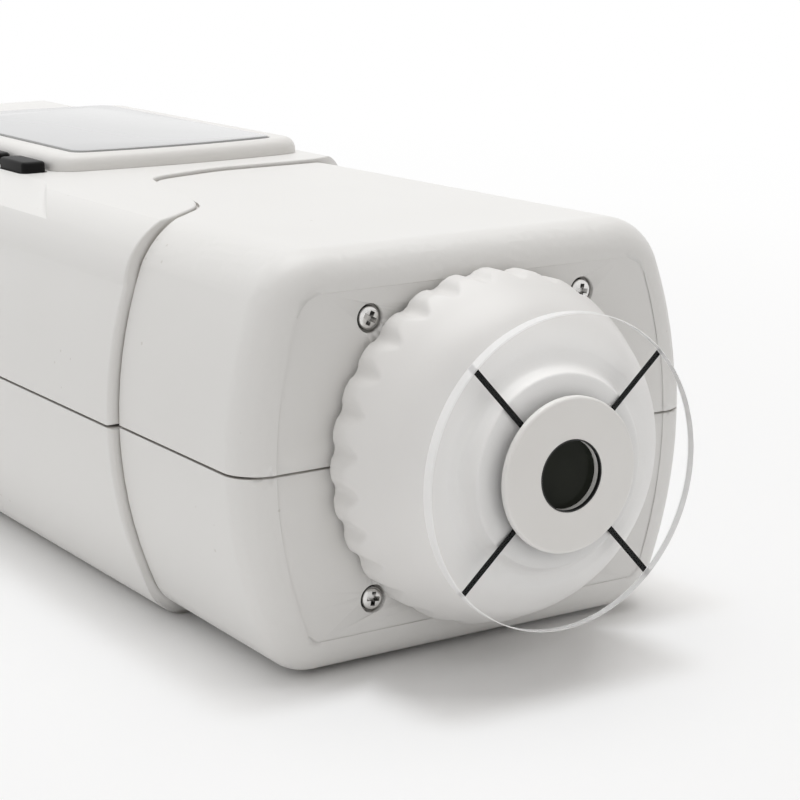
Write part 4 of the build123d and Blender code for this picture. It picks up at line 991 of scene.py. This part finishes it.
def build_flute_tree():
    """Geometry tree: keep every point inside a wave round the measuring axis."""
    tree, source, target = geometry_tree("fluted_grip", [
        ("Axis height", "NodeSocketFloat", AXIS * MM), ("Grip radius", "NodeSocketFloat", GRIP_RADIUS * MM),
        ("Flute depth", "NodeSocketFloat", FLUTE_DEPTH * MM), ("Flute narrowness", "NodeSocketFloat", NARROWNESS),
        ("Flutes", "NodeSocketInt", FLUTES), ("Finish", "NodeSocketMaterial", None)])
    position = tree.nodes.new("GeometryNodeInputPosition")
    split = tree.nodes.new("ShaderNodeSeparateXYZ")
    tree.links.new(position.outputs[0], split.inputs[0])
    high = calculate(tree, "SUBTRACT", split.outputs["Z"], source.outputs["Axis height"])
    squares = calculate(tree, "ADD", calculate(tree, "MULTIPLY", split.outputs["Y"], split.outputs["Y"]),
                        calculate(tree, "MULTIPLY", high, high))
    radius = calculate(tree, "SQRT", squares)
    angle = calculate(tree, "ARCTAN2", high, split.outputs["Y"])
    wave = calculate(tree, "COSINE", calculate(tree, "MULTIPLY", angle, source.outputs["Flutes"]))
    hollow = calculate(tree, "MULTIPLY", calculate(tree, "SUBTRACT", 1.0, wave), 0.5)
    narrow = calculate(tree, "POWER", hollow, source.outputs["Flute narrowness"])
    swing = calculate(tree, "MULTIPLY", narrow, source.outputs["Flute depth"])
    limit = calculate(tree, "SUBTRACT", source.outputs["Grip radius"], swing)
    kept = calculate(tree, "SMOOTH_MIN", radius, limit, BLEND)
    ratio = calculate(tree, "DIVIDE", kept, radius)
    new_y = calculate(tree, "MULTIPLY", split.outputs["Y"], ratio)
    new_z = calculate(tree, "ADD", calculate(tree, "MULTIPLY", high, ratio), source.outputs["Axis height"])
    move = tree.nodes.new("GeometryNodeSetPosition")
    tree.links.new(source.outputs["Geometry"], move.inputs["Geometry"])
    tree.links.new(vector_of(tree, X=split.outputs["X"], Y=new_y, Z=new_z), move.inputs["Position"])
    return finish_tree(tree, source, target, move.outputs[0])


flute_tree = build_flute_tree()
points, faces = stack(turned(profile, FLUTES * FLUTE_POINTS), closed=True)
points = [(x * MM, y * MM, z * MM) for x, y, z in points]
nose = grown("nose_grip", points, faces, flute_tree, {
    "Axis height": AXIS * MM, "Grip radius": GRIP_RADIUS * MM, "Flute depth": FLUTE_DEPTH * MM,
    "Flute narrowness": NARROWNESS, "Flutes": FLUTES, "Finish": nose_white})
cleaned(nose.data)
dress(nose, None, "nose", 40.0, ("nose_cap",))
print("nose cap faces:", len(nose.data.polygons))

# %% [markdown]
# ## Positioning disc, hub and measuring window
# The disc, the hub and the parts in it are turned about the same axis. Each is one profile: the disc
# with a small chamfer that catches light and a frosted rim, the hub with a rounded edge, and a
# sleeve behind it that plugs into the neck.

# %% Disc and hub
DISC_REAR = FACE + 15.7
DISC_FRONT = DISC_REAR + 1.5
DISC_RADIUS = 18.15
FROSTED_FROM = 18.05      # faces whose middle lies farther out than this are the rim of the disc
HUB_ROUND = 0.45
HUB_BACK = HUB_FACE - 0.8
RIM_REAR = HUB_FACE - 0.5
GLASS_FRONT = HUB_FACE - 1.15
SEGMENTS = 256


def ring_piece(name, profile, material, node, crease=35.0):
    """A closed turned ring on the gauge that stands for a CAD node."""
    points, faces = stack(turned(profile, SEGMENTS), closed=True)
    return finished(name, points, faces, material, "gauge", crease, (node,))


disc = ring_piece("clear_plate", [
    (DISC_REAR, 5.7), (DISC_REAR, DISC_RADIUS - 0.05), (DISC_REAR + 0.05, DISC_RADIUS),
    (DISC_FRONT - 0.12, DISC_RADIUS), (DISC_FRONT, DISC_RADIUS - 0.12), (DISC_FRONT, 5.7)],
    clear_disc, "positioning_disc", 20.0)
disc.data.materials.append(disc_edge)
for face in disc.data.polygons:
    face.material_index = int(math.hypot(face.center.y, face.center.z - AXIS * MM) > FROSTED_FROM * MM)
hub = ring_piece("hub_flange", [
    (FACE + 11.0, 4.75), (FACE + 11.0, 5.6), (HUB_BACK, 5.6), (HUB_BACK, 8.95),
    *arc((HUB_FACE - HUB_ROUND, 8.5), HUB_ROUND, 90, 0, 8), (HUB_FACE, 4.2), (HUB_FACE - 0.05, 4.15),
    (RIM_REAR, 4.15), (RIM_REAR, 4.0), (GLASS_FRONT, 4.0), (GLASS_FRONT, 4.75)],
    hub_white, "hub_ring")
rim = ring_piece("rim_band", [
    (RIM_REAR + 0.01, 4.0), (RIM_REAR + 0.01, 4.14), (HUB_FACE, 4.14), (HUB_FACE, 4.0)],
    rim_black, "aperture_rim")
points, faces = stack(turned([(GLASS_FRONT - 0.8, 4.7), (GLASS_FRONT - 0.02, 4.7)], 128))
glass = finished("glass_disc", points, faces, dark_glass, "gauge", 30.0, ("aperture_glass",))
retainer = ring_piece("retainer_ring", [
    (GLASS_FRONT - 1.8, 4.0), (GLASS_FRONT - 1.8, 4.7), (GLASS_FRONT - 0.81, 4.7), (GLASS_FRONT - 0.81, 4.0)],
    rim_black, "glass_retainer")
print("turned parts on the gauge:", [o.name for o in (disc, hub, rim, glass, retainer)])

# %% [markdown]
# ## Sight lines
# Four black lines on the back of the disc help the operator to centre the window on a mark. They are
# the same bar, repeated round the axis, so a Geometry Nodes tree places them: number, first angle,
# inner and outer radius, width and depth are its inputs.

# %% Sight lines
LINES = 4
LINE_ANGLE = 41.8         # degrees from +Y up to the first line
LINE_INNER, LINE_OUTER = 8.2, 18.05
LINE_WIDTH = 0.7
LINE_DEPTH = 0.08
LINE_X = DISC_REAR + 0.06


def build_line_tree():
    """Geometry tree: thin bars round the measuring axis."""
    tree, source, target = geometry_tree("sight_lines", [
        ("Lines", "NodeSocketInt", LINES), ("First angle", "NodeSocketFloat", math.radians(LINE_ANGLE)),
        ("Inner radius", "NodeSocketFloat", LINE_INNER * MM), ("Outer radius", "NodeSocketFloat", LINE_OUTER * MM),
        ("Width", "NodeSocketFloat", LINE_WIDTH * MM), ("Depth", "NodeSocketFloat", LINE_DEPTH * MM),
        ("Centre", "NodeSocketVector", (0, 0, 0)), ("Finish", "NodeSocketMaterial", None)])
    length = calculate(tree, "SUBTRACT", source.outputs["Outer radius"], source.outputs["Inner radius"])
    size = vector_of(tree, X=source.outputs["Depth"], Y=length, Z=source.outputs["Width"])
    bar = preset(tree.nodes.new("GeometryNodeMeshCube"), Vertices_Y=6)
    tree.links.new(size, bar.inputs["Size"])
    both = calculate(tree, "ADD", source.outputs["Inner radius"], source.outputs["Outer radius"])
    shift = tree.nodes.new("GeometryNodeTransform")
    tree.links.new(bar.outputs["Mesh"], shift.inputs["Geometry"])
    tree.links.new(vector_of(tree, Y=calculate(tree, "MULTIPLY", both, 0.5)), shift.inputs["Translation"])
    places = tree.nodes.new("GeometryNodePoints")
    tree.links.new(source.outputs["Lines"], places.inputs["Count"])
    tree.links.new(source.outputs["Centre"], places.inputs["Position"])
    number = tree.nodes.new("GeometryNodeInputIndex")
    step = calculate(tree, "DIVIDE", 2 * math.pi, source.outputs["Lines"])
    angle = calculate(tree, "MULTIPLY_ADD", number.outputs[0], step, source.outputs["First angle"])
    put = tree.nodes.new("GeometryNodeInstanceOnPoints")
    tree.links.new(places.outputs[0], put.inputs["Points"])
    tree.links.new(shift.outputs[0], put.inputs["Instance"])
    tree.links.new(vector_of(tree, X=angle), put.inputs["Rotation"])
    return finish_tree(tree, source, target, put.outputs[0])


line_tree = build_line_tree()
lines = grown("line_bars", [(0, 0, 0)], [], line_tree, {
    "Lines": LINES, "First angle": math.radians(LINE_ANGLE), "Inner radius": LINE_INNER * MM,
    "Outer radius": LINE_OUTER * MM, "Width": LINE_WIDTH * MM, "Depth": LINE_DEPTH * MM,
    "Centre": (LINE_X * MM, 0.0, AXIS * MM), "Finish": line_black})
dress(lines, None, "gauge", 30.0, ("sight_lines",))
print("sight line faces:", len(lines.data.polygons))

# %% [markdown]
# ## Screws
# Four small pan-head screws sit in recesses of the front face, and four more hold the shells
# together from below. A head is turned, and a cross is cut into it. Every head is the same, so a
# Geometry Nodes tree puts it on each place, and turns each one by its own angle, as driven screws
# never stop in line.

# %% Screw head


def build_head(name, radius, height, round_size, shank, shank_length, reach, width, depth):
    """A pan head with a cross recess and a shank; it points along +X and its seat is at x = 0."""
    dome = arc((height - round_size, radius - round_size), round_size, 90, 0, 6)
    side = [(-shank_length, shank), (0.0, shank), (0.0, radius - 0.05), (0.05, radius), *dome,
            (height, radius * 0.3)]
    rings = [[(x, y, z) for y, z in arc((0, 0), r, 0, 360, 64)[:-1]] for x, r in side]
    points, faces = stack(rings)
    head = closed_mesh(name, points, faces)
    cross_points = []
    cross_faces = []
    for turn_by in (0, 90):
        outline = []
        for x, half in ((height + 0.3, reach), (height - depth, reach * 0.55)):
            for y, z in ((-half, -width / 2), (half, -width / 2), (half, width / 2), (-half, width / 2)):
                angle = math.radians(turn_by)
                outline.append((x, y * math.cos(angle) - z * math.sin(angle),
                                y * math.sin(angle) + z * math.cos(angle)))
        base = len(cross_points)
        cross_points += outline
        for face in ((0, 1, 2, 3), (7, 6, 5, 4), (0, 4, 5, 1), (1, 5, 6, 2), (2, 6, 7, 3), (3, 7, 4, 0)):
            cross_faces.append(tuple(base + index for index in face))
    cutter = closed_mesh(name + "_cross", cross_points, cross_faces)
    cut = head.modifiers.new("cross", "BOOLEAN")
    cut.object = cutter
    cut.operation = "DIFFERENCE"
    cut.solver = "EXACT"
    cut.use_self = True
    evaluated(head)
    bpy.data.objects.remove(cutter)
    return head


def build_screw_tree():
    """Geometry tree: a head on every point, each turned about its own axis."""
    tree, source, target = geometry_tree("screws_in_place", [
        ("Head", "NodeSocketObject", None), ("Lean", "NodeSocketVector", (0, 0, 0)), ("Seed", "NodeSocketInt", 1),
        ("Finish", "NodeSocketMaterial", None)])
    info = tree.nodes.new("GeometryNodeObjectInfo")
    tree.links.new(source.outputs["Head"], info.inputs["Object"])
    chance = tree.nodes.new("FunctionNodeRandomValue")
    chance.data_type = "FLOAT"
    chance.inputs["Min"].default_value = 0.0
    chance.inputs["Max"].default_value = math.pi / 2
    tree.links.new(source.outputs["Seed"], chance.inputs["Seed"])
    random_angle = next(socket for socket in chance.outputs if socket.enabled)
    put = tree.nodes.new("GeometryNodeInstanceOnPoints")
    tree.links.new(source.outputs["Geometry"], put.inputs["Points"])
    tree.links.new(info.outputs["Geometry"], put.inputs["Instance"])
    tree.links.new(source.outputs["Lean"], put.inputs["Rotation"])
    spin = tree.nodes.new("GeometryNodeRotateInstances")
    tree.links.new(put.outputs[0], spin.inputs["Instances"])
    tree.links.new(vector_of(tree, X=random_angle), spin.inputs["Rotation"])
    return finish_tree(tree, source, target, spin.outputs[0])


screw_tree = build_screw_tree()
print("screw tree inputs:", [item.name for item in screw_tree.interface.items_tree if item.item_type == "SOCKET"])

# %% Screws in place
FACE_SEAT = FACE - 1.1    # where the heads of the face screws sit
SHELL_SEAT = 4.2          # and those of the shell screws, above the table
SHELL_SPOTS = ((FACE - 56.0, 19.5), (FACE - 179.0, 17.5))
face_head = build_head("face_head", radius=1.42, height=1.0, round_size=0.5, shank=0.9, shank_length=5.0,
                       reach=0.98, width=0.58, depth=0.68)
spots = [(FACE_SEAT * MM, y * MM, (AXIS + z) * MM) for y in (-14.8, 14.8) for z in (-16.5, 16.5)]
face_screws = grown("face_screw_set", spots, [], screw_tree, {
    "Head": face_head, "Lean": (0.0, 0.0, 0.0), "Seed": 3, "Finish": screw_steel})
dress(face_screws, None, "housing", 30.0, ("face_screws",))
shell_head = build_head("shell_head", radius=2.3, height=1.5, round_size=0.6, shank=1.05, shank_length=31.0,
                        reach=1.3, width=0.5, depth=0.8)
spots = [(x * MM, side * y * MM, SHELL_SEAT * MM) for x, y in SHELL_SPOTS for side in (-1, 1)]
shell_screws = grown("shell_screw_set", spots, [], screw_tree, {
    "Head": shell_head, "Lean": (0.0, math.pi / 2, 0.0), "Seed": 5, "Finish": screw_steel})
dress(shell_screws, None, "housing", 30.0, ("shell_screws",))
for helper in (face_head, shell_head):
    bpy.data.objects.remove(helper)
print("screw faces:", len(face_screws.data.polygons), len(shell_screws.data.polygons))

# %% [markdown]
# ## Parts that stay as the CAD made them
# The boards, the sockets, the rocker and the parts inside keep their CAD meshes, because their
# shapes are plain and mostly hidden. Each one still gets its own finish, so that it looks right
# when it does show.

# %% Finishes of the CAD parts
CAD_FINISHES = {
    "display_module": module_black, "key_board": board_green, "measure_button": button_grey,
    "button_board": board_green, "main_board": board_green, "battery_pack": battery_blue,
    "battery_cover": shell_white, "cover_screw": screw_steel, "usb_socket": socket_metal,
    "dc_socket": socket_black, "dc_pin": socket_metal, "rocker_frame": socket_black,
    "power_rocker": socket_black, "front_chassis": chassis_grey, "integrating_sphere": sphere_white,
    "lamp_board": board_green, "lamps": lamp_clear, "sensor_board": board_green, "sensor_tube": module_black,
}
for node, material in CAD_FINISHES.items():
    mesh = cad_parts[node].data
    mesh.materials.clear()
    mesh.materials.append(material)
shown = [o.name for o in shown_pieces()]
left = [name for name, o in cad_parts.items() if name in shown and name not in CAD_FINISHES]
print("pieces shown:", len(shown), "CAD parts without a finish:", left)
